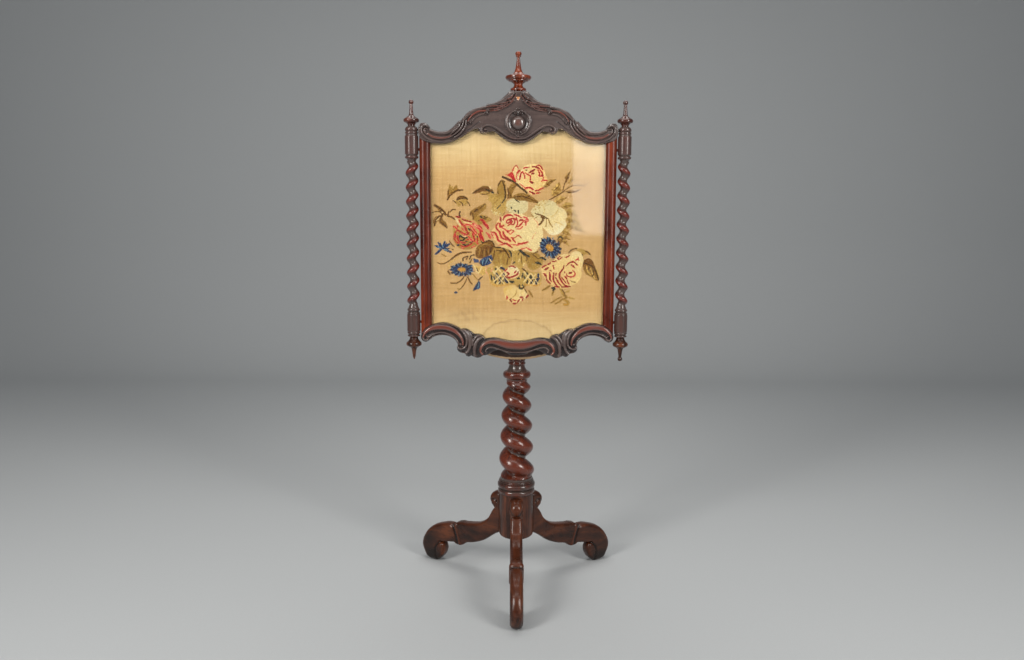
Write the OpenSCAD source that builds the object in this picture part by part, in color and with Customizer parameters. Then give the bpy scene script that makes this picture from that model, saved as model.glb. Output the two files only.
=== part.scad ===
// Victorian pole screen: a carved, glazed needlework panel that slides and turns on a pole
// behind it. The pole stands in a barley-twist column on three scroll legs.
// Millimetres, +Z up, front towards -Y, origin on the floor under the pole's axis.

/* [Stand] */
// Radius of the turned hub that takes the legs
hub_r = 45; // [42:0.5:47]
// Height of the hub's underside above the floor
hub_bottom = 125; // [118:1:132]
// Height of the joint between hub and column
hub_top = 243; // [238:1:250]
// Radius of the round tenon that joins the column to the hub
column_tenon_r = 16; // [13:0.5:18]
// Length of that tenon
column_tenon_len = 60; // [40:1:80]
// Height of the column's cap, where the lowered panel rests
column_top = 604.7; // [590:0.1:640]

/* [Column twist] */
// Outer radius of the twist at its foot
twist_r_low = 48; // [45:0.5:50]
// Outer radius of the twist at its top
twist_r_high = 35.5; // [33:0.5:37]
// Rise of one turn at the foot
twist_pitch_low = 65; // [58:0.5:70]
// Rise of one turn at the top
twist_pitch_high = 48; // [44:0.5:56]
// Depth of the groove as a share of the outer radius
groove_share = 0.58; // [0.4:0.01:0.6]
// Shape of the strand: fat with a narrow groove below 1, slender with a wide hollow above 1
strand_power = 0.8; // [0.7:0.05:1.2]

/* [Legs] */
// Radius from the axis to the outside of a foot
foot_reach = 302; // [290:1:320]
// Thickness of a leg
leg_t = 33; // [30:0.5:36]
// Radius of the rounded long edges
leg_round = 7; // [5:0.5:8]
// Depth of the dovetail tongue in the hub
dovetail_depth = 17; // [12:0.5:20]
// Width of the dovetail where it leaves the hub
dovetail_neck = 13; // [10:0.5:16]
// Width of the dovetail at its inner end
dovetail_wide = 18; // [16:0.5:20]

/* [Pole] */
// Radius of the pole
pole_r = 11; // [9:0.5:12]
// Depth of the socket in the column
socket_depth = 75; // [60:1:90]
// Radius of the spigot that holds the finial
spigot_r = 5.5; // [4:0.5:7]
// Length of that spigot
spigot_len = 22; // [14:1:26]
// Radius of the finial's wide disc
disc_r = 32; // [28:0.5:36]
// Height of the finial above the pole's shoulder
finial_h = 96; // [88:1:104]

/* [Screen frame] */
// Width of the opening between the stiles
sight_w = 430; // [400:1:460]
// Height from the bottom rail's datum to the crest's lowest edge
panel_h = 542.7; // [500:0.1:600]
// Height of the crest's apex above its lowest edge
crest_rise = 124; // [115:1:135]
// Width of a stile
stile_w = 26.6; // [24:0.1:30]
// Depth of a stile from back to front
stile_t = 24; // [22:0.5:27]
// Thickness of the crest and bottom rail boards
rail_t = 22; // [20:0.5:25]
// Height of the raised mouldings on the rails
relief = 4; // [2:0.5:6]
// Width of the raised band along the crest
crest_band = 10; // [8:0.5:12]
// Width of the raised band along the arches of the bottom rail
arch_band = 11; // [9:0.5:14]
// Width of the raised band along the bow of the bottom rail
bow_band = 22; // [18:0.5:26]
// Width of the rebate that the insert sits in
rebate_w = 7; // [5:0.5:8]
// Depth of the rebate from the back
rebate_t = 14; // [13:0.5:15]

/* [Side columns] */
// Radius of the plain turned blocks
block_r = 16.6; // [15:0.1:18]
// Gap between a block and its stile
block_gap = 2.7; // [1.5:0.1:4]
// Outer radius of the side twists
side_twist_r = 15.7; // [14:0.1:16.5]
// Rise of one turn of the side twists
side_pitch = 35; // [30:0.5:45]
// Depth of their groove as a share of the outer radius
side_groove = 0.45; // [0.35:0.01:0.55]
// Shape of their strand, as for the column
side_strand_power = 1.6; // [1:0.05:2]
// Radius of the pegs that hold the finials and drops
peg_r = 4; // [3:0.1:5]
// Length of those pegs
peg_len = 16; // [10:0.5:18]
// Radius of the dowels between side columns and stiles
dowel_r = 3.5; // [2.5:0.1:4]
// The left drop has lost its end knob
left_drop_worn = true; // [true, false]

/* [Insert] */
// Thickness of the glass
glass_t = 2; // [1.5:0.1:2.5]
// Thickness of the stretched needlework
cloth_t = 1.4; // [1:0.1:2]
// Thickness of the backboard
board_t = 5; // [4:0.1:6]

/* [Brackets] */
// Thickness of the bracket plates
plate_t = 2.5; // [2:0.1:3.5]
// Wall of the eyes round the pole
eye_wall = 4.6; // [3.5:0.1:5]
// Height of the eyes
eye_h = 13; // [10:0.5:16]
// Thickness of the mounting cleat
cleat_t = 16.8; // [15.5:0.1:17]
// Half-width of the mounting cleat
cleat_half = 87; // [80:1:95]
// Height of the mounting cleat
cleat_h = 101; // [95:1:108]
// Radius of the wood screws
screw_r = 2; // [1.5:0.1:2.4]
// Radius of the thumbscrew's shank
thumb_r = 3; // [2.5:0.1:3.5]
// Half-width of the thumbscrew's spade
spade_half = 11; // [9:0.5:14]

/* [Clearances] */
// Radial clearance of turning and sliding fits
run_gap = 0.08; // [0.05:0.01:0.1]
// Clearance of glued and seated joints
seat_gap = 0.2; // [0.1:0.05:0.3]
// Gap between the lowered panel and the column's cap
rest_gap = 0.3; // [0.2:0.05:0.5]
// Room between the raised crest and the finial's disc
pass_gap = 1; // [0.5:0.1:3]

/* [Hidden] */
$fn = 64;
// Heights
cleat_low = column_top + rest_gap;
rail_z = cleat_low - 5;
crest_z = rail_z + panel_h;
pole_top = crest_z + crest_rise + 7.3;
drop_seat = rail_z + 64.8;
finial_seat = crest_z + 41.8;
side_twist_low = drop_seat + 80;
side_twist_high = finial_seat - 82;
lower_eye_z = rail_z + 55;
upper_eye_z = crest_z + 52;
// Depths: the frame's back passes in front of the finial's disc
frame_back = -(disc_r + pass_gap);
rail_front = frame_back - rail_t;
side_y = frame_back - 11;
glass_y = frame_back - rebate_t + glass_t + seat_gap;
cloth_y = glass_y + cloth_t + seat_gap;
board_y = cloth_y + board_t + seat_gap;
cleat_back = frame_back + cleat_t;
// Widths
hub_flat = sqrt(hub_r * hub_r - leg_t * leg_t / 4);
leg_root = hub_flat + seat_gap;
stile_x = sight_w / 2;
side_x = stile_x + stile_w + block_gap + block_r;
crest_half = side_x - block_r - 0.5;
insert_half = stile_x + rebate_w;
// Colours
dark_wood = "#4a2f2a";
red_wood = "#7d3a29";
brass = "#b8954a";

// Curve helpers

// One point of a Catmull-Rom span from b to c
function span(a, b, c, d, t) =
    0.5 * (2 * b + (c - a) * t + (2 * a - 5 * b + 4 * c - d) * t * t + (3 * b - a - 3 * c + d) * t * t * t);

// A smooth run through the given points
function smooth(p, steps = 2) = concat(
    [for (i = [0:len(p) - 2]) for (k = [0:steps - 1])
        span(p[max(i - 1, 0)], p[i], p[i + 1], p[min(i + 2, len(p) - 1)], k / steps)],
    [p[len(p) - 1]]
);

// Several smooth runs that meet at sharp corners
function joined(runs, steps = 2) = [for (run = runs) each smooth(run, steps)];

// A right-hand outline completed by its mirror image
function both_sides(half) = concat(
    half,
    [for (i = [len(half) - 1:-1:0]) if (half[i].x > 0.01) [-half[i].x, half[i].y]]
);

function scaled(points, sx, sy) = [for (p = points) [p.x * sx, p.y * sy]];

// Largest x (axis 0) or y (axis 1) in a row of points, and in several rows
function reach(points, axis) = max([for (p = points) p[axis]]);
function reach_all(runs, axis) = max([for (run = runs) reach(run, axis)]);

function reversed(row) = [for (i = [len(row) - 1:-1:0]) row[i]];

// Unit normal to the right of the way along an open or closed row of points
function right_of(p, i, closed) =
    let (last = len(p) - 1)
    let (before = i > 0 ? p[i - 1] : closed ? p[last] : p[0])
    let (after = i < last ? p[i + 1] : closed ? p[0] : p[last])
    let (way = after - before)
    [way.y, -way.x] / norm(way);

// A right-hand run led in by its mirror image
function across(run) = concat([for (i = [len(run) - 1:-1:1]) [-run[i].x, run[i].y]], run);

// A strip of the given width along the right of a run
function strip(run, width) = concat(
    run,
    [for (i = [len(run) - 1:-1:0]) run[i] + right_of(run, i, false) * width]
);

// Turned bead between two heights that stands proud of radius r
function bead(r, low, high, out) =
    [for (a = [-75:30:75]) [r + out * cos(a), (low + high) / 2 + (high - low) / 2 * sin(a)]];

function lifted(profile, z) = [for (p = profile) [p.x, p.y + z]];

// Shape helpers

module turned(profile) rotate_extrude() polygon(profile);

// A flat board in the plane of the panel, from y_back towards the front
module upright(y_back, t) translate([0, y_back, 0]) rotate([90, 0, 0]) linear_extrude(height = t) children();

// Triangles that fill the space between two rows of points with the same start and end; i and j count along
// the rows, which together make a ring of n points
function filled(upper, lower, n, i = 0, j = 0) =
    let (more = i < len(upper) - 1, more_below = j < len(lower) - 1)
    !more && !more_below ? [] :
    let (opens = more_below && cross(lower[j + 1] - upper[i], lower[j] - upper[i]) < 0)
    let (above = more && (!opens || norm(upper[i + 1] - lower[j]) < norm(upper[i] - lower[j + 1])))
    above ? concat([[i, i + 1, n - 1 - j]], filled(upper, lower, n, i + 1, j))
        : concat([[i, n - 2 - j, n - 1 - j]], filled(upper, lower, n, i, j + 1));

// A plate with rounded edges, upright over the x axis, between an upper and a lower edge that both run out
// from a square end at the left, which isn't rounded
module rounded_plate(upper, lower, t, edge) {
    below = concat([(upper[0] + lower[0]) / 2], lower);
    outline = concat(upper, reversed(below));
    n = len(outline);
    inward = [for (i = [0:n - 1])
        i == 0 ? [0, -1] : i == n - 2 ? [0, 1] : i == n - 1 ? [0, 0] : right_of(outline, i, true)];
    inset = [for (i = [0:n - 1]) outline[i] + inward[i] * edge];
    above = [for (i = [0:len(upper) - 1]) inset[i]];
    side = filled(above, [for (j = [0:len(below) - 1]) inset[n - 1 - j]], n);
    turns = [-90, -45, 0];
    rings = concat(
        [for (a = turns) [edge - t / 2 + edge * sin(a), edge * (1 - cos(a))]],
        [for (a = turns) [t / 2 - edge + edge * sin(a + 90), edge * (1 - cos(a + 90))]]
    );
    points = [for (ring = rings) for (i = [0:n - 1])
        let (p = outline[i] + inward[i] * ring.y)
        [p.x, ring.x, p.y]];
    last = (len(rings) - 1) * n;
    faces = concat(
        side,
        [for (f = side) [last + f[2], last + f[1], last + f[0]]],
        [for (k = [0:len(rings) - 2]) for (i = [0:n - 1])
            let (a = k * n + i, b = k * n + (i + 1) % n)
            each [[a, a + n, b + n], [a, b + n, b]]]
    );
    polyhedron(points, faces);
}

// Turns made up to a height s where the rise of a turn changes evenly from low to high
function turns_at(s, length, low, high) =
    abs(high - low) < 0.01 ? s / low : length / (high - low) * ln(1 + (high - low) * s / length / low);

// Share of full radius across one strand, from groove (-1) over the crown (0) to groove (1)
function strand(t, groove, power) = 1 - groove + groove * pow(max(cos(90 * t), 0), power);

function ease(x) = let (c = min(max(x, 0), 1)) c * c * (3 - 2 * c);

// Single-start barley twist. r, pitch and end_r are [foot, top]; hand is 1 or -1
module twist(length, r, pitch, end_r, groove, power, fade, hand, start, sides, step) {
    turns = turns_at(length, length, pitch[0], pitch[1]);
    rings = ceil(turns * 360 / step);
    spread = [for (j = [0:sides - 1])
        let (u = 2 * j / sides - 1) sign(u) * (1 - pow(1 - abs(u), 1.2))];
    points = concat(
        [for (i = [0:rings]) let (s = length * i / rings, share = i / rings)
            let (full = r[0] + (r[1] - r[0]) * share, end = share < 0.5 ? end_r[0] : end_r[1])
            let (blend = ease(min(s, length - s) / fade))
            let (angle = start + hand * 360 * turns_at(s, length, pitch[0], pitch[1]))
            for (t = spread)
                let (radius = end + (full * strand(t, groove, power) - end) * blend)
                [radius * cos(angle + 180 * t), radius * sin(angle + 180 * t), s]],
        [[0, 0, 0], [0, 0, length]]
    );
    foot = (rings + 1) * sides;
    top = rings * sides;
    faces = concat(
        [for (i = [0:rings - 1]) for (j = [0:sides - 1])
            let (a = i * sides + j, b = i * sides + (j + 1) % sides)
            each [[a, a + sides, b + sides], [a, b + sides, b]]],
        [for (j = [0:sides - 1]) [foot, j, (j + 1) % sides]],
        [for (j = [0:sides - 1]) [foot + 1, top + (j + 1) % sides, top + j]]
    );
    polyhedron(points, faces);
}

// Stand

module dovetail(gap, low, high) {
    inner = hub_r - dovetail_depth;
    neck = dovetail_neck / 2 + gap;
    wide = dovetail_wide / 2 + gap;
    translate([0, 0, low]) linear_extrude(height = high - low)
        polygon([[inner - gap, -wide], [inner - gap, wide], [hub_r, neck], [hub_r, -neck]]);
}

// Top of the dovetails, top of the flats on the hub, and the legs' drop below it
tongue_top = hub_top - 18;
leg_top = hub_top - 3;
leg_shoulder = 1.5;
leg_angles = [270, 150, 30];

module hub() {
    edge = 8;
    profile = concat(
        [[0, hub_bottom], [hub_r - edge, hub_bottom]],
        [for (a = [-75:15:0]) [hub_r - edge + edge * cos(a), hub_bottom + edge + edge * sin(a)]],
        [[hub_r, hub_top], [0, hub_top]]
    );
    color(red_wood) difference() {
        turned(profile);
        translate([0, 0, hub_top - column_tenon_len - seat_gap])
            cylinder(r = column_tenon_r + seat_gap / 2, h = column_tenon_len + 1);
        for (angle = leg_angles) rotate([0, 0, angle]) {
            dovetail(seat_gap, hub_bottom - 1, tongue_top + seat_gap);
            translate([hub_flat, -hub_r, hub_bottom - 1]) cube([hub_r, 2 * hub_r, leg_top + 1 - hub_bottom]);
        }
    }
}

module column() {
    tenon_foot = hub_top - column_tenon_len;
    base_top = hub_top + 44;
    cap_low = column_top - 62;
    twist_low = base_top - 6;
    base = concat(
        [[0, tenon_foot], [column_tenon_r, tenon_foot], [column_tenon_r, hub_top]],
        lifted(concat(
            [[hub_r, 0]], bead(hub_r + 0.5, 0.5, 13, 3), [[hub_r + 0.8, 14.5]],
            bead(hub_r + 0.5, 16, 37, 4), [[hub_r - 1, 38], [hub_r - 3, 40.5], [hub_r - 3.5, 44], [0, 44]]
        ), hub_top)
    );
    cap = lifted(concat(
        [[0, -62], [26, -62], [27.5, -60], [27, -57], [28.5, -54.5]], bead(30, -53, -35.8, 6),
        [[28, -35.4], [22.5, -34], [20, -30.5], [19.3, -24], [20, -18.5]], bead(20.5, -17.5, -11.5, 2),
        [[20.3, -10]], bead(20, -9, -1.5, 2.5), [[18, 0], [0, 0]]
    ), column_top);
    color(red_wood) difference() {
        union() {
            turned(base);
            turned(cap);
            translate([0, 0, twist_low])
                twist(
                    length = cap_low + 4 - twist_low, r = [twist_r_low, twist_r_high],
                    pitch = [twist_pitch_low, twist_pitch_high], end_r = [hub_r - 4, 25.5],
                    groove = groove_share, power = strand_power, fade = 20, hand = -1, start = 135,
                    sides = 20, step = 20
                );
        }
        translate([0, 0, column_top - socket_depth])
            cylinder(r = pole_r + run_gap, h = socket_depth + 1);
    }
}

// Side outline of a leg, from the hub outwards. Above: knee scroll, sweep down to the collar, scroll foot
leg_above = [
    [[42, 238], [54, 238.5], [67, 233], [75, 223], [76, 212], [72, 201], [66, 192.5]],
    [[67.5, 184], [84, 156], [113, 137], [153, 129], [171, 128], [186, 123], [194, 117]],
    [[201, 117.5], [225, 115], [263, 101], [291, 74], [302, 42], [291, 12], [281, 3], [270, 0]]
];
// Below: underside, lip of the collar, curl of the foot
leg_below = [
    [[42, 127], [62, 115.5], [93, 93], [124, 79.5], [150, 73], [161, 65.5], [170, 61.5], [178, 60.5],
        [186, 63]],
    [[191, 66], [205, 64.3], [222, 61]],
    [[237, 57], [231, 55], [226, 46], [225.5, 32], [232, 17], [243, 5], [254, 0]]
];

// Fits the outline between the hub's flat and the reach of the foot, and under the top of the flats
function leg_edge(runs) =
    let (from = leg_above[0][0].x, tip = reach_all(leg_above, 0), top = reach_all(leg_above, 1))
    [for (p = joined(runs)) [
        leg_root + (p.x - from) * (foot_reach - leg_root) / (tip - from),
        p.y * (leg_top - leg_shoulder) / top
    ]];

module leg(angle) {
    color(dark_wood) rotate([0, 0, angle]) union() {
        rounded_plate(leg_edge(leg_above), leg_edge(leg_below), leg_t, leg_round);
        dovetail(0, hub_bottom + 6, tongue_top);
    }
}
module leg_front() leg(leg_angles[0]);
module leg_left() leg(leg_angles[1]);
module leg_right() leg(leg_angles[2]);

// Pole and finial

module pole() {
    foot = column_top - socket_depth + seat_gap;
    color(red_wood) union() {
        translate([0, 0, foot]) cylinder(r = pole_r, h = pole_top - foot);
        translate([0, 0, pole_top - 1]) cylinder(r = spigot_r, h = spigot_len + 1);
    }
}

module pole_finial() {
    drawn = concat(
        [[0, 0], [18.5, 0]], bead(18, 0.3, 6.5, 1.7),
        [[15, 8], [12, 11], [10.5, 13.5], [10.8, 16.5], [13, 19], [18, 22], [22, 23.5], [24.5, 24]],
        [[24.5, 25.5], [29.5, 27.5]], bead(28.5, 28, 37, 3.5),
        smooth([[24, 38.5], [15, 41], [9.5, 47.5], [6.3, 60], [4.2, 75], [3.3, 81]]),
        [[5.8, 82], [6.2, 84], [5.5, 85.2]], smooth([[6, 85.5], [8, 89], [6.6, 93], [3.4, 95.4], [0, 96]])
    );
    profile = scaled(drawn, disc_r / reach(drawn, 0), finial_h / reach(drawn, 1));
    color(red_wood) difference() {
        translate([0, 0, pole_top]) turned(profile);
        translate([0, 0, pole_top - 1]) cylinder(r = spigot_r + seat_gap / 2, h = spigot_len + 1 + seat_gap);
    }
}

// Carved rails, right half of each outline, clockwise from the middle of the upper edge
crest_runs = [
    [[0, 124], [22, 124]],
    [[24, 122], [31, 115], [45, 103.5], [61, 96.6], [76, 94]],
    [[79, 90], [100, 85], [115, 79], [126, 71.5], [134, 62], [140, 54.7]],
    [[146, 53.5], [152, 47], [161, 38], [170, 32], [180, 29.6], [193, 29.1], [206, 32], [214, 35]],
    [[216.5, 41], [222, 46.8], [229, 49], [237, 46.3], [242, 39], [243.8, 31], [242.5, 22], [239, 12.5],
        [234, 7]],
    [[222, 2.5], [205, -0.8], [186, -1.5], [172, 0.2], [157, 5.2], [138, 14.3], [120, 25.5], [106, 33],
        [98, 33]],
    [[95.6, 30], [92, 25], [84, 22.5], [76, 23.5], [69, 27.5], [62, 28.8]],
    [[58, 27.3], [43, 16], [33, 9.2], [22, 3.6], [11, 0.6], [0, 0]]
];
rail_runs = [
    [[0, 56.6], [16, 57.5], [32, 59.8], [47, 63.4], [60, 64.8], [76, 62.7], [81, 61.5]],
    [[84.8, 68.9], [95, 73.5], [106, 73.4]],
    [[111, 76], [118, 81.6], [128, 86.9], [137, 87.8], [141, 86.2]],
    [[150, 92], [163, 98], [178, 102.4], [193, 102.7], [207, 99.5], [219, 95], [231, 87.2], [239, 77.3]],
    [[239, 77.3], [242.5, 67], [240, 58], [234, 53.3], [228.8, 52.6]],
    [[221, 56.6], [213, 63], [202, 68], [187, 69.7], [173.5, 67.4], [162, 62], [154, 54.6], [150, 45.7]],
    [[152.3, 38.8], [150, 31], [143, 25.5], [133, 23.1]],
    [[128, 17.2], [122, 15.2], [115.5, 18]],
    [[110.4, 15], [102.5, 12.2], [94, 13.2]],
    [[85, 18.3], [75.5, 20], [66, 25.5], [55, 31], [43, 31.5], [30, 26], [15, 20], [0, 18]]
];
wide = crest_half / reach_all(crest_runs, 0);
tall = crest_rise / reach_all(crest_runs, 1);

function crest_fit(points) = lifted(scaled(points, wide, tall), crest_z);
function rail_fit(points) = lifted(scaled(points, wide, 1), rail_z);

module crest_outline() polygon(both_sides(crest_fit(joined(crest_runs))));
module rail_outline() polygon(both_sides(rail_fit(joined(rail_runs))));

// Outline shared by glass, needlework and backboard; grow widens it into the rebate
module insert_outline(grow) {
    side = insert_half + grow;
    top = crest_fit([[0, 44], [122, 44], [146, 22], [170, 12]]);
    low = rail_fit([[165, 82], [143, 72], [120, 46], [0, 40]]);
    half = concat(
        [for (p = top) p + [0, grow]],
        [[side, top[3].y + grow], [side, low[0].y - grow]],
        [for (p = low) p - [0, grow]]
    );
    polygon(both_sides(half));
}

module pocket() upright(frame_back + 1, rebate_t + 1) insert_outline(0.3);

// Square tenons on the stiles and the mortises for them
tenon_w = 12;
tenon_t = 10;
tenon_x = insert_half + 2.5;
tenon_low = rail_z + 66;
tenon_high = crest_z + 26;
module stile_tenon(gap, low, high) {
    translate([tenon_x - gap, frame_back - 7 - tenon_t - gap, low - gap])
        cube([tenon_w + 2 * gap, tenon_t + 2 * gap, high - low + 2 * gap]);
}

module both_hands() {
    children();
    mirror([1, 0, 0]) children();
}

// A turned ornament on the front of a rail
module boss(x, z, profile) translate([x, rail_front + 1, z]) rotate([90, 0, 0]) turned(profile);

function button(r, h) = concat([[0, 0], [r, 0], [r, 1]], [for (a = [15:15:90]) [r * cos(a), 1 + h * sin(a)]]);
function ring(r, half) = [for (a = [0:30:180]) [r + half * cos(a), 1 + half * 0.9 * sin(a)]];

module crest_carving() {
    middle = crest_z + 52.3 * tall;
    boss(0, middle, button(16, 7));
    boss(0, middle, concat(ring(29, 5), [[24, 0], [34, 0]]));
    both_hands() {
        boss(228.5 * wide, crest_z + 31 * tall, button(9, 5));
        boss(84 * wide, crest_z + 32 * tall, button(6.5, 4));
        for (run = [crest_runs[1], crest_runs[2], crest_runs[3]])
            upright(rail_front + 1, relief + 1) polygon(strip(crest_fit(smooth(run)), crest_band));
    }
}

module crest_rail() {
    color(dark_wood) difference() {
        union() {
            upright(frame_back, rail_t) crest_outline();
            crest_carving();
        }
        pocket();
        both_hands() stile_tenon(seat_gap, rail_z, tenon_high);
        upper_screw_holes();
    }
}

module rail_carving() {
    both_hands() {
        boss(230 * wide, rail_z + 67, button(8.5, 5));
        boss(139 * wide, rail_z + 37, button(9, 5));
        boss(85 * wide, rail_z + 31, button(8, 5));
        upright(rail_front + 1, relief + 1) polygon(strip(rail_fit(smooth(rail_runs[3])), arch_band));
    }
    upright(rail_front + 1, relief + 1) polygon(strip(rail_fit(across(smooth(rail_runs[0]))), bow_band));
}

module bottom_rail() {
    color(dark_wood) difference() {
        union() {
            upright(frame_back, rail_t) rail_outline();
            rail_carving();
        }
        pocket();
        both_hands() stile_tenon(seat_gap, tenon_low, crest_z);
        cleat_screw_holes();
    }
}

// Right stile: segmental front, rebated inner edge, ends scribed to the rails, tenons and dowel holes
stile_crown = 8;
module stile() {
    crown_r = (stile_w * stile_w / 4 + stile_crown * stile_crown) / (2 * stile_crown);
    low = rail_z + 70;
    high = crest_z + 28;
    color(red_wood) difference() {
        union() {
            difference() {
                translate([0, 0, low]) linear_extrude(height = high - low) intersection() {
                    translate([stile_x, frame_back - stile_t]) square([stile_w, stile_t]);
                    translate([stile_x + stile_w / 2, frame_back - stile_t + crown_r]) circle(r = crown_r);
                }
                translate([stile_x - 1, frame_back - rebate_t, low - 1])
                    cube([rebate_w + 1.3, rebate_t + 1, high - low + 2]);
                translate([0, 0, -seat_gap]) upright(frame_back + 1, stile_t + 2) crest_outline();
                translate([0, 0, seat_gap]) upright(frame_back + 1, stile_t + 2) rail_outline();
            }
            stile_tenon(0, tenon_low, tenon_high);
        }
        dowels(seat_gap / 2);
    }
}
module right_stile() stile();
module left_stile() mirror([1, 0, 0]) stile();

// Side columns, drawn for the right-hand side
dowel_heights = [drop_seat + 38, finial_seat - 56];
dowel_depth = 11;

// The dowels between a side column and its stile
module dowels(gap) {
    from = stile_x + stile_w - dowel_depth;
    for (z = dowel_heights) translate([from - gap, side_y, z]) rotate([0, 90, 0])
        cylinder(r = dowel_r + gap, h = 2 * dowel_depth + block_gap + 2 * gap);
}

module side_column() {
    lower = lifted(concat(
        [[0, 0], [9, 0], [13, 1]], bead(block_r - 2.4, 1.2, 5, 1.6), [[block_r - 2.6, 6.5]],
        bead(block_r - 2, 8.4, 13, 1.8),
        [[block_r - 0.4, 14], [block_r, 15], [block_r, 57.5], [block_r - 1.6, 58.2]],
        bead(block_r - 1.8, 58.8, 62.5, 1.4), [[block_r - 2.6, 64]], bead(block_r - 2.4, 66, 71.5, 1.6),
        [[block_r - 2.6, 72.5], [13, 76], [11, 82], [0, 82]]
    ), drop_seat);
    upper = lifted(concat(
        [[0, -84], [11, -84], [11, -82], [block_r - 3.5, -79]], bead(block_r - 2, -78, -72, 2),
        [[block_r - 2, -70.5], [block_r - 1, -68], [block_r, -67], [block_r, -24.5], [block_r - 0.6, -23.7],
        [block_r - 1.6, -21.2]], bead(block_r - 2, -18.8, -13.8, 1.2), [[block_r - 2.4, -13]],
        bead(block_r - 2.3, -12.3, -4.9, 1.5), [[block_r - 2, -4.5], [12.5, -2], [9, 0], [0, 0]]
    ), finial_seat);
    low = side_twist_low - 1;
    length = side_twist_high + 1 - low;
    color(red_wood) difference() {
        translate([side_x, side_y, 0]) union() {
            turned(lower);
            turned(upper);
            translate([0, 0, low]) twist(
                length = length, r = [side_twist_r, side_twist_r], pitch = [side_pitch, side_pitch],
                end_r = [10.4, 10.4], groove = side_groove, power = side_strand_power, fade = 10, hand = -1,
                start = 120, sides = 12, step = 30
            );
        }
        for (z = [drop_seat - 1, finial_seat - peg_len - seat_gap])
            translate([side_x, side_y, z]) cylinder(r = peg_r + seat_gap / 2, h = peg_len + 1 + seat_gap);
        dowels(seat_gap / 2);
    }
}
module right_side_column() side_column();
module left_side_column() mirror([1, 0, 0]) side_column();

module side_dowels() color(red_wood) both_hands() dowels(0);

module top_finial() {
    profile = concat(
        [[0, -peg_len], [peg_r, -peg_len], [peg_r, 0], [8.5, 0], [8.5, 2.5], [10.9, 6], [14, 8]],
        bead(16.5, 9, 18, 2.8), smooth([[13, 20.3], [8.2, 23.8], [5.4, 28], [4.5, 39.5], [3.4, 52.5]]),
        smooth([[5.2, 53.2], [6, 56.5], [5.2, 60], [2.5, 62.3], [0, 62.8]])
    );
    color(red_wood) translate([side_x, side_y, finial_seat]) turned(profile);
}
module right_top_finial() top_finial();
module left_top_finial() mirror([1, 0, 0]) top_finial();

module drop(worn) {
    tip = worn ? [[2.4, -54], [1.2, -57], [0, -57.6]]
        : concat([[3.4, -51]], smooth([[5, -52], [5.8, -55.5], [5, -59], [2.5, -60.6], [0, -61]]));
    profile = concat(
        [[0, peg_len], [peg_r, peg_len], [peg_r, 0], [9, 0], [10.5, -3], [11, -6], [15, -11.5]],
        [for (p = bead(16.5, 13, 23, 2.8)) [p.x, -p.y]],
        smooth([[13, -25], [8.5, -28], [6.3, -31.5], [4.8, -40], [3.6, -50]]), tip
    );
    color(red_wood) translate([side_x, side_y, drop_seat]) turned(profile);
}
module right_drop() drop(false);
module left_drop() mirror([1, 0, 0]) drop(left_drop_worn);

// Insert

module glass() color("#c9d6d4", 0.4) upright(glass_y, glass_t) insert_outline(0);
module needlework() color("#d8bd84") upright(cloth_y, cloth_t) insert_outline(0);
module backboard() color("#8a6444") upright(board_y, board_t) insert_outline(0);

// Fillets that hold the insert in its rebate, a little inside the frame's back face
module back_beads() {
    bead_w = 6;
    bead_t = frame_back - board_y - 2 * seat_gap;
    y = frame_back - seat_gap;
    color(red_wood) {
        both_hands() upright(y, bead_t)
            translate([insert_half - bead_w, rail_z + 86]) square([bead_w, crest_z - rail_z - 78]);
        upright(y, bead_t)
            translate([-112 * wide, crest_z + 44 * tall - bead_w]) square([224 * wide, bead_w]);
        upright(y, bead_t)
            translate([-100 * wide, rail_z + 47.5]) square([200 * wide, bead_w]);
    }
}

// Brackets, cleat and screws

// A countersunk screw along +Y, its head flush at y = 0
module screw(length, gap) {
    r = screw_r + gap;
    rotate([90, 0, 0])
        turned([[0, -0.01], [2 * r, -0.01], [2 * r, 0.4], [r, r + 0.4], [r, length - r], [0, length]]);
}

screw_len = 14;
cleat_screw_len = cleat_t + 11;
screw_margin = 3 * screw_r;
// Width and height of the bracket plates; the upper one ends below the finial's disc when raised
upper_plate = [30, 39];
upper_plate_low = upper_eye_z - eye_h / 2 - 1;
lower_plate = [58, 26];
upper_screws = [for (x = [-1, 1]) for (z = [upper_plate.y / 2, upper_plate.y - screw_margin])
    [x * (upper_plate.x / 2 - screw_margin), frame_back + plate_t, upper_plate_low + z]];
lower_screws = [for (x = [-1, 1]) for (z = [-1, 1])
    let (place = lower_plate / 2 - [screw_margin, screw_margin])
    [x * place.x, cleat_back + plate_t, lower_eye_z + z * place.y]];
cleat_screw_places = [for (p = [[-40, 35.5], [0, 30], [40, 35.5]]) [p.x, cleat_back, rail_z + p.y]];

module upper_screw_holes() for (p = upper_screws) translate(p) screw(screw_len + 1, seat_gap / 2);
module lower_screw_holes() for (p = lower_screws) translate(p) screw(screw_len + 1, seat_gap / 2);
module cleat_screw_holes() for (p = cleat_screw_places) translate(p) screw(cleat_screw_len + 1, seat_gap / 2);

module bracket_screws() color(brass)
    for (p = concat(upper_screws, lower_screws)) translate(p) screw(screw_len, 0);
module cleat_screws() color(brass) for (p = cleat_screw_places) translate(p) screw(cleat_screw_len, 0);

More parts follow.
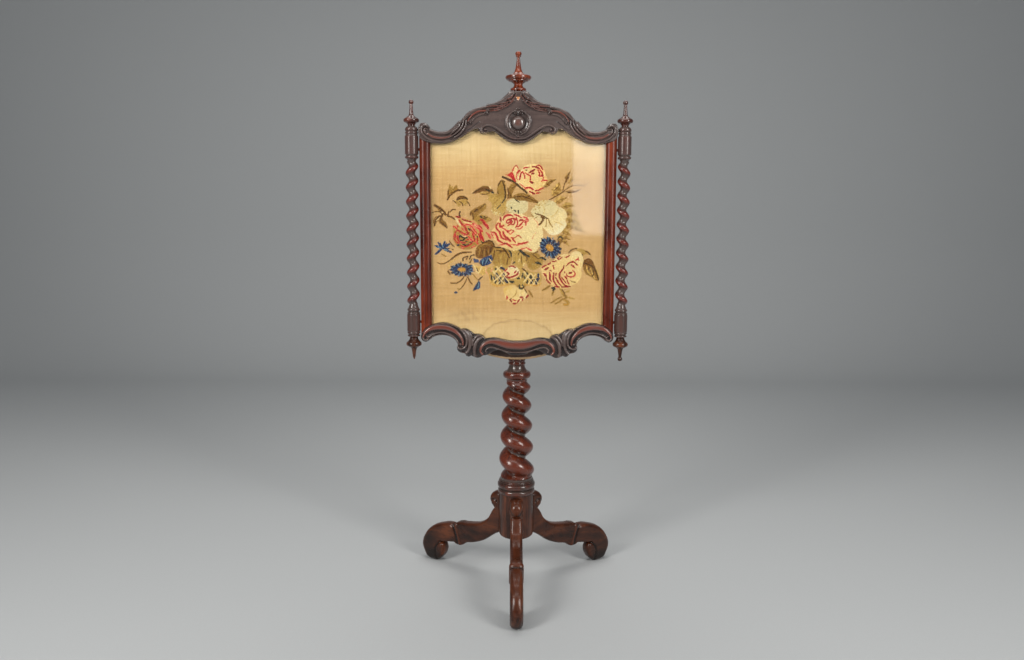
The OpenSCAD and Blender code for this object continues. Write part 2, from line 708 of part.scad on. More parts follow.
// Shaped block behind the bottom rail: arched top, shallow curved foot that rests on the column's cap
module mounting_cleat() {
    foot_curve = 261;
    top_curve = 131;
    top = cleat_low + cleat_h;
    color("#7a5238") difference() {
        upright(cleat_back, cleat_t) intersection() {
            translate([0, cleat_low + foot_curve]) circle(r = foot_curve, $fn = 180);
            translate([0, top - top_curve]) circle(r = top_curve, $fn = 120);
            translate([-cleat_half, cleat_low - 1]) square([2 * cleat_half, cleat_h + 2]);
        }
        lower_screw_holes();
        cleat_screw_holes();
    }
}

module eye_bore(z) translate([0, 0, z - eye_h]) cylinder(r = pole_r + run_gap, h = 2 * eye_h);
module eye(z) translate([0, 0, z - eye_h / 2]) cylinder(r = pole_r + eye_wall, h = eye_h);

module upper_bracket() {
    arm_w = 9;
    color(brass) difference() {
        union() {
            upright(frame_back + plate_t, plate_t)
                translate([-upper_plate.x / 2, upper_plate_low]) square(upper_plate);
            translate([-arm_w / 2, frame_back + 1, upper_eye_z - eye_h / 2])
                cube([arm_w, -frame_back - pole_r - 2, eye_h]);
            eye(upper_eye_z);
        }
        eye_bore(upper_eye_z);
        upper_screw_holes();
    }
}

boss_end = pole_r + 13;
module lower_bracket() {
    color(brass) difference() {
        union() {
            upright(cleat_back + plate_t, plate_t)
                translate([0, lower_eye_z]) square(lower_plate, center = true);
            eye(lower_eye_z);
            translate([0, 0, lower_eye_z]) rotate([-90, 0, 0]) cylinder(r = thumb_r + 3, h = boss_end);
        }
        eye_bore(lower_eye_z);
        translate([0, 0, lower_eye_z]) rotate([-90, 0, 0]) cylinder(r = thumb_r + run_gap, h = boss_end + 1);
        lower_screw_holes();
    }
}

// Thumbscrew along +Y: shank, collar and a flat spade to grip
module thumbscrew() {
    color(brass) translate([0, 0, lower_eye_z]) rotate([-90, 0, 0]) union() {
        translate([0, 0, pole_r + rest_gap]) cylinder(r = thumb_r, h = boss_end - pole_r + 4);
        translate([0, 0, boss_end + rest_gap]) cylinder(r = thumb_r + 2, h = 3);
        translate([0, 0, boss_end + rest_gap + 2.5]) translate([0, 1.5, 0]) rotate([90, 0, 0])
            linear_extrude(height = 3) union() {
                for (x = [-1, 1]) translate([x * spade_half / 2, 8]) circle(r = spade_half / 2);
                translate([-thumb_r, 0]) square([2 * thumb_r, 9]);
            }
    }
}

hub();
column();
leg_front();
leg_left();
leg_right();
pole();
pole_finial();
crest_rail();
bottom_rail();
left_stile();
right_stile();
left_side_column();
right_side_column();
left_top_finial();
right_top_finial();
left_drop();
right_drop();
glass();
needlework();
backboard();
back_beads();
mounting_cleat();
upper_bracket();
lower_bracket();
bracket_screws();
cleat_screws();
side_dowels();
thumbscrew();
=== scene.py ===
"""Looks of a Victorian pole screen: carved mahogany frame with barley-twist columns, a glazed
needlework panel, a twisted stand and three scroll legs. Lengths are in millimetres until a mesh is made.
Drawn curves are flat lists of points, x and z in turn."""

import math

import bpy
import numpy as np
from mathutils import Matrix, Vector
from mathutils.geometry import delaunay_2d_cdt


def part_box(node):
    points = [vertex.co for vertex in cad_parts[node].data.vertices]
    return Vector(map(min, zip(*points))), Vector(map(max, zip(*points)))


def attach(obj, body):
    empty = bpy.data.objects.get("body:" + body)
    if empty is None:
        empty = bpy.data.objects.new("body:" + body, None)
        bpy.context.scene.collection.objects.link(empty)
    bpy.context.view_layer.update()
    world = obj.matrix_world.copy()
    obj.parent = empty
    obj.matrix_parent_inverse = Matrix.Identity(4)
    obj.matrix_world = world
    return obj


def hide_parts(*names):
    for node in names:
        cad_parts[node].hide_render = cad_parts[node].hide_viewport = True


MM = 0.001
CHANCE = np.random.default_rng(11)

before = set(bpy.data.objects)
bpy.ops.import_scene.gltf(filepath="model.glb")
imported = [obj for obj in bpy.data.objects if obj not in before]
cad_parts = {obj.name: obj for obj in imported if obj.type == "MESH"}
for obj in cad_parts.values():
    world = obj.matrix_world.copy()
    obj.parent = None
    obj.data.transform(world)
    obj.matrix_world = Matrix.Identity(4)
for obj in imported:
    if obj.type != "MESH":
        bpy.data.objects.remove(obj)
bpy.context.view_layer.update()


# Sizes and places read from the frame

def node_box(name):
    """Low and high corner of a CAD node."""
    low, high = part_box(name)
    return np.array(low) / MM, np.array(high) / MM


CREST_RISE = 124.0
RAIL_T = 22.0
REBATE_T = 14.0
BLOCK_R = 16.6
HUB_R = 45.0
LEG_T = 33.0
CLEAT_ABOVE_RAIL = 5.0
RAIL_Z = node_box("mounting_cleat")[0][2] - CLEAT_ABOVE_RAIL
CREST_Z = node_box("crest_rail")[1][2] - CREST_RISE
FRAME_BACK = node_box("left_stile")[1][1]
RAIL_FRONT = FRAME_BACK - RAIL_T
REBATE_Y = FRAME_BACK - REBATE_T
SIDE_X, SIDE_Y = np.mean(node_box("right_side_column"), axis=0)[:2]
DROP_SEAT = node_box("right_side_column")[0][2]
FINIAL_SEAT = node_box("right_side_column")[1][2]
HUB_TOP = node_box("hub")[1][2]
COLUMN_TOP = node_box("column")[1][2]
CLOTH_FRONT = node_box("needlework")[0][1]
CLOTH_BACK = node_box("needlework")[1][1]
INSERT_HALF = node_box("glass")[1][0]


# Curves

SAME_POINT = 0.05
ON_AXIS = 0.01


def smooth(points, steps=8):
    """Catmull-Rom curve through points, given in pairs or as a flat list."""
    p = np.reshape(np.asarray(points, float), (-1, 2))
    p = np.vstack([p[:1], p, p[-1:]])
    t = np.linspace(0, 1, steps, endpoint=False)[:, None]
    spans = [
        0.5 * (2 * b + (c - a) * t + (2 * a - 5 * b + 4 * c - d) * t ** 2 + (3 * b - a - 3 * c + d) * t ** 3)
        for a, b, c, d in zip(p, p[1:], p[2:], p[3:])
    ]
    return np.vstack(spans + [p[-1:]])


def spaced(line, step):
    """The line with points at even steps, its ends kept."""
    line = np.asarray(line, float)
    s = np.concatenate([[0], np.cumsum(np.linalg.norm(np.diff(line, axis=0), axis=1))])
    t = np.linspace(0, s[-1], max(2, int(round(s[-1] / step)) + 1))
    return np.column_stack([np.interp(t, s, line[:, k]) for k in range(line.shape[1])])


def run_edge(runs, step):
    """Smooth runs that meet at sharp corners, evenly spaced."""
    line = np.vstack([spaced(smooth(run), step) for run in runs])
    gap = np.linalg.norm(np.diff(line, axis=0), axis=1)
    return line[np.concatenate([[True], gap > SAME_POINT])]


def both_sides(half):
    """A half outline followed by its mirror image in x."""
    mirror = half[::-1]
    mirror = mirror[mirror[:, 0] > ON_AXIS] * (-1, 1)
    return np.vstack([half, mirror])


def closed(loop):
    """The loop with its first point again at the end."""
    return np.vstack([loop, loop[:1]])


def nearest(points, line):
    """Distance to a line, share of its length there, and side (positive to the left of the way)."""
    steps = np.diff(line, axis=0)
    lengths = np.linalg.norm(steps, axis=1)
    starts = np.concatenate([[0], np.cumsum(lengths)])
    best = np.full(len(points), np.inf)
    share = np.zeros(len(points))
    side = np.zeros(len(points))
    for a, step, length, start in zip(line, steps, lengths, starts):
        off = points - a
        t = np.clip(off @ step / length ** 2, 0, 1)
        d = np.hypot(off[:, 0] - t * step[0], off[:, 1] - t * step[1])
        win = d < best
        best[win] = d[win]
        share[win] = (start + t[win] * length) / starts[-1]
        side[win] = np.sign(step[0] * off[win, 1] - step[1] * off[win, 0])
    return best, share, side


def near(points, line, reach):
    """Indices of the points within reach of a line's box, and their nearest() values."""
    index = np.flatnonzero(((points >= line.min(0) - reach) & (points <= line.max(0) + reach)).all(1))
    return (index, *nearest(points[index], line))


def inside(points, loop):
    """Which points lie inside a closed loop."""
    x, y = points[:, 0], points[:, 1]
    odd = np.zeros(len(points), bool)
    for (ax, ay), (bx, by) in zip(loop, np.roll(loop, -1, axis=0)):
        if ay != by:
            odd ^= ((ay > y) != (by > y)) & (x < (bx - ax) * (y - ay) / (by - ay) + ax)
    return odd


# Meshes

ROW_SHARE = 0.866
MERGE = 1e-5
RINGS_PER_TURN = 72
END_TONE = 0.5


def hex_grid(loop, step, margin):
    """Points of a staggered grid inside a loop, off its edge by the margin."""
    low, high = loop.min(0), loop.max(0)
    rows = []
    for k, z in enumerate(np.arange(low[1], high[1], step * ROW_SHARE)):
        x = np.arange(low[0] + (k % 2) * step / 2, high[0], step)
        rows.append(np.column_stack([x, np.full(len(x), z)]))
    grid = np.vstack(rows)
    grid = grid[inside(grid, loop)]
    return grid[nearest(grid, closed(loop))[0] > margin]


def triangles(loops, extra, keep):
    """Triangles over closed loops and extra points; keep says which triangle centres stay."""
    points = np.vstack(loops + ([extra] if extra is not None else []))
    edges, start = [], 0
    for loop in loops:
        n = len(loop)
        edges += [(start + i, start + (i + 1) % n) for i in range(n)]
        start += n
    made = delaunay_2d_cdt([Vector(p) for p in points], edges, [], 0, MERGE)
    points = np.array([v[:] for v in made[0]])
    tris = np.array(made[2])
    tris = tris[keep(points[tris].mean(1))]
    used = np.unique(tris)
    place = np.zeros(len(points), int)
    place[used] = np.arange(len(used))
    return points[used], place[tris]


def slab(points, tris, front, back):
    """A closed plate over triangles in the x-z plane, between y values even or for each point."""
    n = len(points)
    x, z = points.T
    verts = np.vstack([
        np.column_stack([x, np.broadcast_to(front, n), z]),
        np.column_stack([x, np.broadcast_to(back, n), z]),
    ])
    way = np.vstack([tris[:, [0, 1]], tris[:, [1, 2]], tris[:, [2, 0]]])
    key = way.min(1) * n + way.max(1)
    _, where, count = np.unique(key, return_index=True, return_counts=True)
    a, b = way[where[count == 1]].T
    walls = np.column_stack([b, a, a + n, b + n])
    return verts, tris.tolist() + (tris[:, ::-1] + n).tolist() + walls.tolist()


def tube(rings, ends, tone, sides):
    """A closed (verts, faces, tone) of stacked rings of points, with the heights of its end points."""
    count = len(rings) // sides
    i, j = np.meshgrid(np.arange(count - 1), np.arange(sides), indexing="ij")
    p, q = i * sides + j, i * sides + (j + 1) % sides
    faces = np.stack([p, q, q + sides, p + sides], axis=-1).reshape(-1, 4).tolist()
    foot, top = count * sides, (count - 1) * sides
    faces += [[foot, (k + 1) % sides, k] for k in range(sides)]
    faces += [[foot + 1, top + k, top + (k + 1) % sides] for k in range(sides)]
    return np.vstack([rings, [[0, 0, z] for z in ends]]), faces, np.append(tone, [END_TONE, END_TONE])


def lathe(profile, sides=96, tones=(0.05, 0.75), shaded_band=(0, 0)):
    """A closed turned form from a profile of (radius, z) that starts and ends on the axis. Its tone runs from
    painted shade in the quirks to wear with a painted highlight on the beads, and is lowest, for painted shade,
    between two given heights."""
    profile = np.asarray(profile, float)
    ring = profile[profile[:, 0] > 1e-6]
    a = np.linspace(0, 2 * math.pi, sides, endpoint=False)
    rings = [[r * math.cos(t), r * math.sin(t), z] for r, z in ring for t in a]
    painted_light_and_wear = np.where((ring[:, 1] > shaded_band[0]) & (ring[:, 1] < shaded_band[1]), 0.0, lathe_tone(ring))
    tone = np.interp(np.repeat(painted_light_and_wear, sides), [0, 1], tones)
    return tube(rings, profile[[0, -1], 1], tone, sides)


def lathe_tone(ring):
    """Low in the quirks of a turned profile, for painted shade, and high on its beads, for wear with a painted
    highlight.
    """
    reach, even, swing = 7, 0.65, 4
    r, z = ring.T
    around = np.array([np.mean(r[np.abs(z - h) < reach]) for h in z])
    return np.clip(even + (r - around) / swing, 0, 1)


def bead(r, low, high, out):
    """Profile of a bead that stands out from a radius, between two heights."""
    a = np.radians(np.linspace(-80, 80, 13))
    return list(zip(r + out * np.cos(a), (low + high) / 2 + (high - low) / 2 * np.sin(a)))


def lifted(profile, z):
    """A profile moved up."""
    return [(r, h + z) for r, h in profile]


def barley(low, length, r, pitch, end_r, groove, power, cove, fade, hand, start, sides):
    """A single-start barley twist; r, pitch and end_r are (foot, top). The cove is the share of the crown's
    rise at which the groove's floor lies."""
    rise = pitch[1] - pitch[0]

    def turns_at(s):
        return s / pitch[0] if abs(rise) < 0.01 else length / rise * np.log(1 + rise * s / length / pitch[0])

    s = np.linspace(0, length, int(turns_at(length) * RINGS_PER_TURN) + 1)[:, None]
    t = np.linspace(-1, 1, sides, endpoint=False)[None, :]
    share = s / length
    full = r[0] + (r[1] - r[0]) * share
    end = np.where(share < 0.5, end_r[0], end_r[1])
    ease = np.clip(np.minimum(s, length - s) / fade, 0, 1)
    ease = ease ** 2 * (3 - 2 * ease)
    crown = np.maximum(np.maximum(np.cos(math.pi / 2 * t), 0) ** power, cove)
    radius = end + (full * (1 - groove + groove * crown) - end) * ease
    angle = np.radians(start + hand * 360 * turns_at(s) + 180 * t)
    height = np.broadcast_to(s + low, radius.shape)
    rings = np.stack([radius * np.cos(angle), radius * np.sin(angle), height], axis=-1).reshape(-1, 3)
    # Painted shade in the groove, and wear with a painted highlight on the crown.
    painted_light_and_wear = np.clip((crown - cove) / (1 - cove), 0, 1)
    tone = np.broadcast_to(painted_light_and_wear * ease + 0.3 * (1 - ease), radius.shape).ravel()
    return tube(rings, (low, low + length), tone, sides)


def merged(*forms):
    """Several (verts, faces, tone) in one."""
    verts, faces, tones, start = [], [], [], 0
    for v, f, tone in forms:
        verts.append(v)
        faces += [[i + start for i in face] for face in f]
        tones.append(np.broadcast_to(tone, len(v)))
        start += len(v)
    return np.vstack(verts), faces, np.concatenate(tones)


def add_piece(name, verts, faces, body, material, replaces, sharp, values=None):
    """A mesh object that rides on a body. Edges turn sharp at an angle in degrees, and values are named
    numbers or vectors for each point."""
    mesh = bpy.data.meshes.new(name)
    mesh.from_pydata((np.asarray(verts) * MM).tolist(), [], faces)
    for key, data in (values or {}).items():
        data = np.asarray(data, np.float32)
        vector = data.ndim == 2
        layer = mesh.attributes.new(key, "FLOAT_VECTOR" if vector else "FLOAT", "POINT")
        layer.data.foreach_set("vector" if vector else "value", data.ravel())
    mesh.update()
    mesh.polygons.foreach_set("use_smooth", [True] * len(mesh.polygons))
    mesh.set_sharp_from_angle(angle=math.radians(sharp))
    mesh.materials.append(material)
    piece = bpy.data.objects.new(name, mesh)
    bpy.context.scene.collection.objects.link(piece)
    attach(piece, body)
    if replaces:
        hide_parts(*replaces)
    return piece


# Materials

def srgb(r, g, b):
    """Linear colour from 0 to 255 screen values."""
    c = np.array([r, g, b]) / 255
    return tuple(np.where(c <= 0.04045, c / 12.92, ((c + 0.055) / 1.055) ** 2.4)) + (1.0,)


class Shader:
    """A material's node tree with its Principled shader."""

    def __init__(self, name):
        self.material = bpy.data.materials.new(name)
        self.material.use_nodes = True
        self.tree = self.material.node_tree
        self.main = self.tree.nodes["Principled BSDF"]

    def add(self, kind, inputs=None, **settings):
        node = self.tree.nodes.new("ShaderNode" + kind)
        for key, value in settings.items():
            setattr(node, key, value)
        for key, value in (inputs or {}).items():
            self.put(node.inputs[key], value)
        return node

    def put(self, socket, value):
        if isinstance(value, bpy.types.NodeSocket):
            self.tree.links.new(value, socket)
        else:
            socket.default_value = value

    def set(self, **values):
        for key, value in values.items():
            self.put(self.main.inputs[key.replace("_", " ")], value)

    def object_place(self):
        return self.add("TexCoord").outputs["Object"]

    def value(self, name):
        return self.add("Attribute", attribute_name=name).outputs["Fac"]

    def vector(self, name):
        return self.add("Attribute", attribute_name=name).outputs["Vector"]

    def stretched(self, place, scale):
        return self.add("Mapping", {"Vector": place, "Scale": scale}).outputs[0]

    def noise(self, place, scale, detail=4.0, rough=0.55, distortion=0.0):
        return self.add("TexNoise", {
            "Vector": place, "Scale": scale, "Detail": detail, "Roughness": rough, "Distortion": distortion
        }).outputs["Fac"]

    def ranged(self, value, low, high, to_low=0.0, to_high=1.0):
        return self.add("MapRange", {
            "Value": value, "From Min": low, "From Max": high, "To Min": to_low, "To Max": to_high
        }).outputs[0]

    def math(self, kind, a, b):
        return self.add("Math", {0: a, 1: b}, operation=kind).outputs[0]

    def mix(self, share, a, b, blend="MIX"):
        node = self.add("Mix", data_type="RGBA", blend_type=blend)
        self.put(node.inputs[0], share)
        self.put(node.inputs[6], a)
        self.put(node.inputs[7], b)
        return node.outputs[2]

    def ramp(self, value, stops):
        node = self.add("ValToRGB", {"Fac": value})
        points = node.color_ramp.elements
        while len(points) < len(stops):
            points.new(0.5)
        for point, (place, colour) in zip(points, stops):
            point.position = place
            point.color = colour
        return node.outputs["Color"]

    def bump(self, height, strength, distance):
        return self.add("Bump", {"Height": height, "Strength": strength, "Distance": distance}).outputs[0]


def wood(
    name, dark, mid, light, grain=(1, 1, 0.07), place=None, crevice_shade=None, hollow=(0.05, 0.5), rubbed=None,
    gloss=(0.24, 0.36), coat=0.5, shine=0.5
):
    """Polished wood with stretched grain, pores, patchy colour and gloss, from screen colours. With a crevice
    colour, which is painted shade, the point value tone is low in the hollows, where that painted shade goes, 1
    on rubbed places, which take a colour of wear with a painted highlight, and 3 where the polish is chipped."""
    dark, mid, light = srgb(*dark), srgb(*mid), srgb(*light)
    s = Shader(name)
    where = s.vector(place) if place else s.object_place()
    along = s.stretched(where, grain)
    figure = s.noise(along, 55.0, 6.0, 0.6, 0.8)
    pores = s.noise(along, 620.0, 2.0)
    patch = s.noise(where, 16.0, 3.0)
    blend = s.math("ADD", s.math("MULTIPLY", figure, 0.7), s.math("MULTIPLY", patch, 0.3))
    colour = s.ramp(blend, [(0.34, dark), (0.5, mid), (0.66, light)])
    colour = s.mix(s.ranged(pores, 0.34, 0.44, 0.45, 0.0), colour, dark)
    if crevice_shade:
        crevice_shade, rubbed, bare = srgb(*crevice_shade), srgb(*rubbed), srgb(206, 142, 92)
        tone = s.value("tone")
        # Painted shade goes into the hollows; high places take a rubbed colour that is wear with a painted
        # highlight.
        painted_light_and_wear = s.math("ADD", tone, s.ranged(patch, 0.3, 0.7, -0.1, 0.1))
        colour = s.mix(s.ranged(painted_light_and_wear, *hollow, 0.9, 0.0), colour, crevice_shade)
        colour = s.mix(s.ranged(painted_light_and_wear, 0.7, 1.0, 0.0, 0.85), colour, rubbed)
        colour = s.mix(s.ranged(tone, 1.6, 2.2), colour, bare)
    s.set(Base_Color=colour, Roughness=s.ranged(patch, 0.3, 0.7, *gloss), Specular_IOR_Level=shine)
    s.set(Coat_Weight=coat, Coat_Roughness=0.15, Normal=s.bump(pores, 0.10, 0.0004))
    return s.material


RED_WOOD = wood("red mahogany", (38, 12, 6), (92, 31, 12), (136, 54, 24), coat=0.2, shine=0.3)
FINIAL_WOOD = wood("finial mahogany", (54, 20, 9), (116, 48, 23), (162, 76, 40), gloss=(0.18, 0.3))
SPIRE_WOOD = wood("side finial mahogany", (34, 14, 9), (78, 33, 21), (116, 54, 34), gloss=(0.18, 0.3))
HUB_WOOD = wood("hub mahogany", (20, 9, 5), (60, 29, 16), (112, 60, 36), coat=0.25, shine=0.3)
# Its crevice colour is grey dust and wax in the grooves with painted shade, and its rubbed colour is wear with
# a painted highlight on the crowns.
TWIST_WOOD = wood(
    "twisted mahogany", (38, 14, 6), (77, 28, 11), (112, 46, 19), grain=(1, 1, 0.3),
    crevice_shade=(66, 56, 51), hollow=(0.02, 0.16), rubbed=(102, 39, 16), gloss=(0.2, 0.32)
)
# Its crevice colour is grey patina of the hollows with painted shade, and its rubbed colour is wear with a
# painted highlight on the crowns.
SIDE_WOOD = wood(
    "side column mahogany", (38, 14, 10), (74, 26, 17), (104, 40, 26), crevice_shade=(80, 66, 61),
    hollow=(0.2, 0.72), rubbed=(114, 37, 22), gloss=(0.2, 0.32)
)
# Its greyish colours paint in part the grey sheen of broad light on the waxed carving; its crevice colour is
# painted shade, and its rubbed colour is wear with a painted highlight.
CARVED_WOOD = wood(
    "carved mahogany", (66, 54, 51), (85, 70, 66), (100, 82, 76), grain=(0.07, 1, 1),
    crevice_shade=(26, 18, 17), rubbed=(120, 49, 28), gloss=(0.18, 0.3), coat=0.9
)
# Its crevice colour is painted shade in the grooves, and its rubbed colour is wear with a painted highlight.
LEG_WOOD = wood(
    "leg mahogany", (26, 11, 5), (66, 31, 14), (104, 54, 27), grain=(0.12, 1, 0.5), place="local",
    crevice_shade=(18, 11, 8), rubbed=(86, 40, 19), coat=0.25, shine=0.3
)
BOARD_WOOD = wood(
    "plain board", (86, 56, 36), (122, 84, 54), (150, 110, 74), gloss=(0.6, 0.8), coat=0.0
)


def cleat_wood():
    """Dark worn block whose curved foot is rubbed down to pale wood."""
    low = node_box("mounting_cleat")[0]
    curve, rubbed, soft = 261.0, 5.0, 0.8
    s = Shader("cleat wood")
    where = s.object_place()
    along = s.stretched(where, (0.07, 1, 1))
    figure = s.noise(along, 60.0, 6.0, 0.6, 0.6)
    body = s.ramp(figure, [(0.35, srgb(32, 20, 16)), (0.6, srgb(66, 42, 32))])
    pale = s.ramp(figure, [(0.35, srgb(140, 108, 78)), (0.6, srgb(190, 160, 122))])
    middle = s.add("Mapping", {"Vector": where, "Location": (0, 0, -(low[2] + curve) * MM), "Scale": (1, 0, 1)})
    out = s.add("VectorMath", {0: middle.outputs[0]}, operation="LENGTH").outputs["Value"]
    out = s.math("ADD", out, s.ranged(s.noise(where, 90.0, 3.0), 0.3, 0.7, -0.0012, 0.0012))
    rub = s.ranged(out, (curve - rubbed - soft) * MM, (curve - rubbed + soft) * MM)
    s.set(Base_Color=s.mix(rub, body, pale), Roughness=s.ranged(figure, 0.3, 0.7, 0.45, 0.7))
    s.set(Normal=s.bump(figure, 0.2, 0.0005))
    return s.material


def brass():
    """Dull lacquered brass, darker in patches."""
    s = Shader("old brass")
    where = s.object_place()
    patch = s.noise(where, 60.0, 5.0)
    fine = s.noise(where, 900.0, 3.0)
    colour = s.ramp(patch, [(0.3, srgb(92, 66, 34)), (0.5, srgb(158, 122, 62)), (0.7, srgb(190, 154, 88))])
    s.set(Base_Color=colour, Metallic=1.0, Roughness=s.ranged(patch, 0.3, 0.7, 0.5, 0.28))
    s.set(Normal=s.bump(fine, 0.08, 0.0003))
    return s.material


def sheet_glass():
    """Old sheet glass, faintly uneven."""
    s = Shader("sheet glass")
    wave = s.noise(s.stretched(s.object_place(), (1, 1, 0.5)), 7.0, 1.0)
    s.set(Base_Color=srgb(252, 253, 252), Roughness=0.04, IOR=1.47, Transmission_Weight=1.0)
    s.set(Normal=s.bump(wave, 0.05, 0.002))
    return s.material


def canvas():
    """Even woven ground, tan, with threads both ways, faint slubs, a little staining, a faint darker arc and
    painted shade along its sides.
    """
    s = Shader("canvas")
    where = s.object_place()
    waves = {"Vector": where, "Scale": 150.0, "Distortion": 0.6, "Detail": 1.0, "Detail Scale": 2.0}
    weave = s.math("MULTIPLY", *[s.add("TexWave", waves, bands_direction=way).outputs["Fac"] for way in "XZ"])
    upright = s.noise(s.stretched(where, (80, 1, 4)), 2.4, 3.0, 0.75)
    slub = s.noise(s.stretched(where, (4, 1, 80)), 2.4, 3.0, 0.75)
    patch = s.noise(where, 7.0, 4.0)
    threads = s.math("MULTIPLY", s.math("ADD", upright, slub), 0.4)
    shade = s.math("ADD", threads, s.math("MULTIPLY", patch, 0.3))
    colour = s.ramp(shade, [(0.4, srgb(147, 116, 71)), (0.55, srgb(163, 131, 83)), (0.7, srgb(174, 143, 94))])
    faded = s.ramp(shade, [(0.4, srgb(171, 147, 103)), (0.55, srgb(185, 163, 119)), (0.7, srgb(195, 174, 130))])
    colour = s.mix(s.value("pale"), colour, faded)
    # Stain, a faint darker arc and painted shade of the stiles along the sides.
    colour = s.mix(s.value("stain_and_shade"), colour, srgb(104, 78, 44))
    colour = s.mix(s.ranged(weave, 0.0, 0.5, 0.22, 0.0), colour, srgb(110, 80, 44))
    s.set(Base_Color=colour, Roughness=0.92, Sheen_Weight=0.15, Sheen_Roughness=0.5, Specular_IOR_Level=0.2)
    s.set(Normal=s.bump(weave, 0.35, 0.0004))
    return s.material


def wool():
    """Dyed wool, each stitch in its own colour, with fibres along it."""
    s = Shader("wool")
    where = s.object_place()
    fibre = s.noise(s.stretched(where, (1, 1, 0.35)), 2600.0, 2.0)
    fade = s.noise(where, 30.0, 3.0)
    colour = s.add("Attribute", attribute_name="thread").outputs["Color"]
    colour = s.mix(s.ranged(fibre, 0.3, 0.7, 0.0, 0.18), colour, srgb(70, 48, 30), "MULTIPLY")
    colour = s.mix(s.ranged(fade, 0.45, 0.8, 0.0, 0.08), colour, srgb(160, 134, 90))
    s.set(Base_Color=colour, Roughness=0.95, Sheen_Weight=0.05, Sheen_Roughness=0.5, Specular_IOR_Level=0.1)
    s.set(Normal=s.bump(fibre, 0.25, 0.0003))
    return s.material


# Carved relief on a plate

class Relief:
    """Heights and tones over points of the x-z plane, the same on both hands. Low tones are painted shade; high
    tones are wear with a painted highlight.
    """

    def __init__(self, points, ground):
        self.at = np.column_stack([np.abs(points[:, 0]), points[:, 1]])
        self.height = np.zeros(len(points))
        self.tone = np.full(len(points), ground)

    def lift(self, index, height, tone):
        """Raise points to new heights and tones, where these are above what is there."""
        win = height > self.height[index]
        index = index[win]
        self.height[index] = height[win]
        self.tone[index] = tone[win]

    def roll(self, points, width, height, tone=0.7):
        """A round moulding along a curve; width is its half-width, even or along the curve."""
        widths = np.atleast_1d(width)
        index, d, share, _ = near(self.at, spaced(smooth(points), 1.5), widths.max())
        k = d / np.interp(share, np.linspace(0, 1, len(widths)), widths)
        crown = np.sqrt(np.clip(1 - k ** 2, 0, 1))
        # Painted shade on the flanks, and wear with a painted highlight on the crown.
        self.lift(index, height * crown, tone * (0.15 + 0.85 * crown))

    def groove(self, points, width, depth):
        """A narrow valley along a curve."""
        index, d, _, _ = near(self.at, spaced(smooth(points), 1.5), width)
        cut = np.clip(1 - (d / width) ** 2, 0, 1)
        self.height[index] -= depth * cut
        # Painted shade in the groove.
        self.tone[index] *= 1 - 0.9 * cut

    def volute(self, centre, r, height, hand=1):
        """A spiral scroll with an eye."""
        turns, tone = 1.2, 0.7
        off = self.at - centre
        index = np.flatnonzero((off ** 2).sum(1) < r * r)
        off = off[index]
        d = np.hypot(*off.T) / r
        wind = d * turns + hand * np.arctan2(off[:, 1], off[:, 0]) / (2 * math.pi)
        ridge = 0.5 + 0.5 * np.cos(2 * math.pi * wind)
        eye = np.sqrt(np.clip(1 - (d / 0.3) ** 2, 0, 1))
        edge = np.clip((1 - d) / 0.12, 0, 1) ** 0.5
        shape = np.maximum((0.4 + 0.6 * ridge) * edge * (0.8 + 0.2 * (1 - d)), eye)
        # Painted shade in the spiral's groove.
        self.lift(index, height * shape, tone * (0.1 + 0.9 * np.maximum(ridge, eye)))

    def dome(self, centre, r, height, tone=0.8):
        """A round boss."""
        d = np.hypot(*(self.at - centre).T) / r
        index = np.flatnonzero(d < 1)
        crown = np.sqrt(1 - d[index] ** 2)
        # Painted shade round its foot, and wear with a painted highlight on its crown.
        self.lift(index, height * crown, tone * (0.3 + 0.7 * crown))


CREST_RUNS = [
    [0, 124, 22, 124],
    [24, 122, 31, 115, 45, 103.5, 61, 96.6, 76, 94],
    [79, 90, 100, 85, 115, 79, 126, 71.5, 134, 62, 140, 54.7],
    [146, 53.5, 152, 47, 161, 38, 170, 32, 180, 29.6, 193, 29.1, 206, 32, 214, 35],
    [216.5, 41, 223, 47.2, 231, 49.4, 238.6, 46.6, 243, 39, 244.2, 31, 243, 22, 240, 12.5, 235, 7],
    [222, 2.5, 205, -0.8, 186, -1.5, 172, 0.2, 157, 5.2, 138, 14.3, 120, 25.5, 106, 33, 98, 33],
    [95.6, 30, 92, 25, 84, 22.5, 76, 23.5, 69, 27.5, 62, 28.8],
    [58, 27.3, 43, 16, 33, 9.2, 22, 3.6, 11, 0.6, 0, 0],
]
RAIL_RUNS = [
    [0, 56.6, 16, 57.5, 32, 59.8, 47, 63.4, 60, 64.8, 76, 62.7, 81, 61.5],
    [84.8, 68.9, 95, 73.5, 106, 73.4],
    [111, 76, 118, 81.6, 128, 86.9, 137, 87.8, 141, 86.2],
    [150, 92, 163, 98, 178, 102.4, 193, 102.7, 207, 99.5, 219, 95, 231, 87.2, 239, 77.3],
    [239, 77.3, 242.5, 67, 240, 58, 234, 53.3, 228.8, 52.6],
    [221, 56.6, 213, 63, 202, 68, 187, 69.7, 173.5, 67.4, 162, 62, 154, 54.6, 150, 45.7],
    [152.3, 38.8, 150, 31, 143, 25.5, 133, 23.1],
    [128, 17.2, 122, 15.2, 115.5, 18],
    [110.4, 15, 102.5, 12.2, 94, 13.2],
    [85, 18.3, 75.5, 20, 66, 25.5, 55, 31, 43, 31.5, 30, 26, 15, 20, 0, 18],
]


def inset_line(run, depth):
    """A run's own curve moved to the right of its way, into the plate."""
    line = smooth(run)
    way = np.gradient(line, axis=0)
    way /= np.linalg.norm(way, axis=1)[:, None]
    return (line + np.column_stack([way[:, 1], -way[:, 0]]) * depth)[::4]


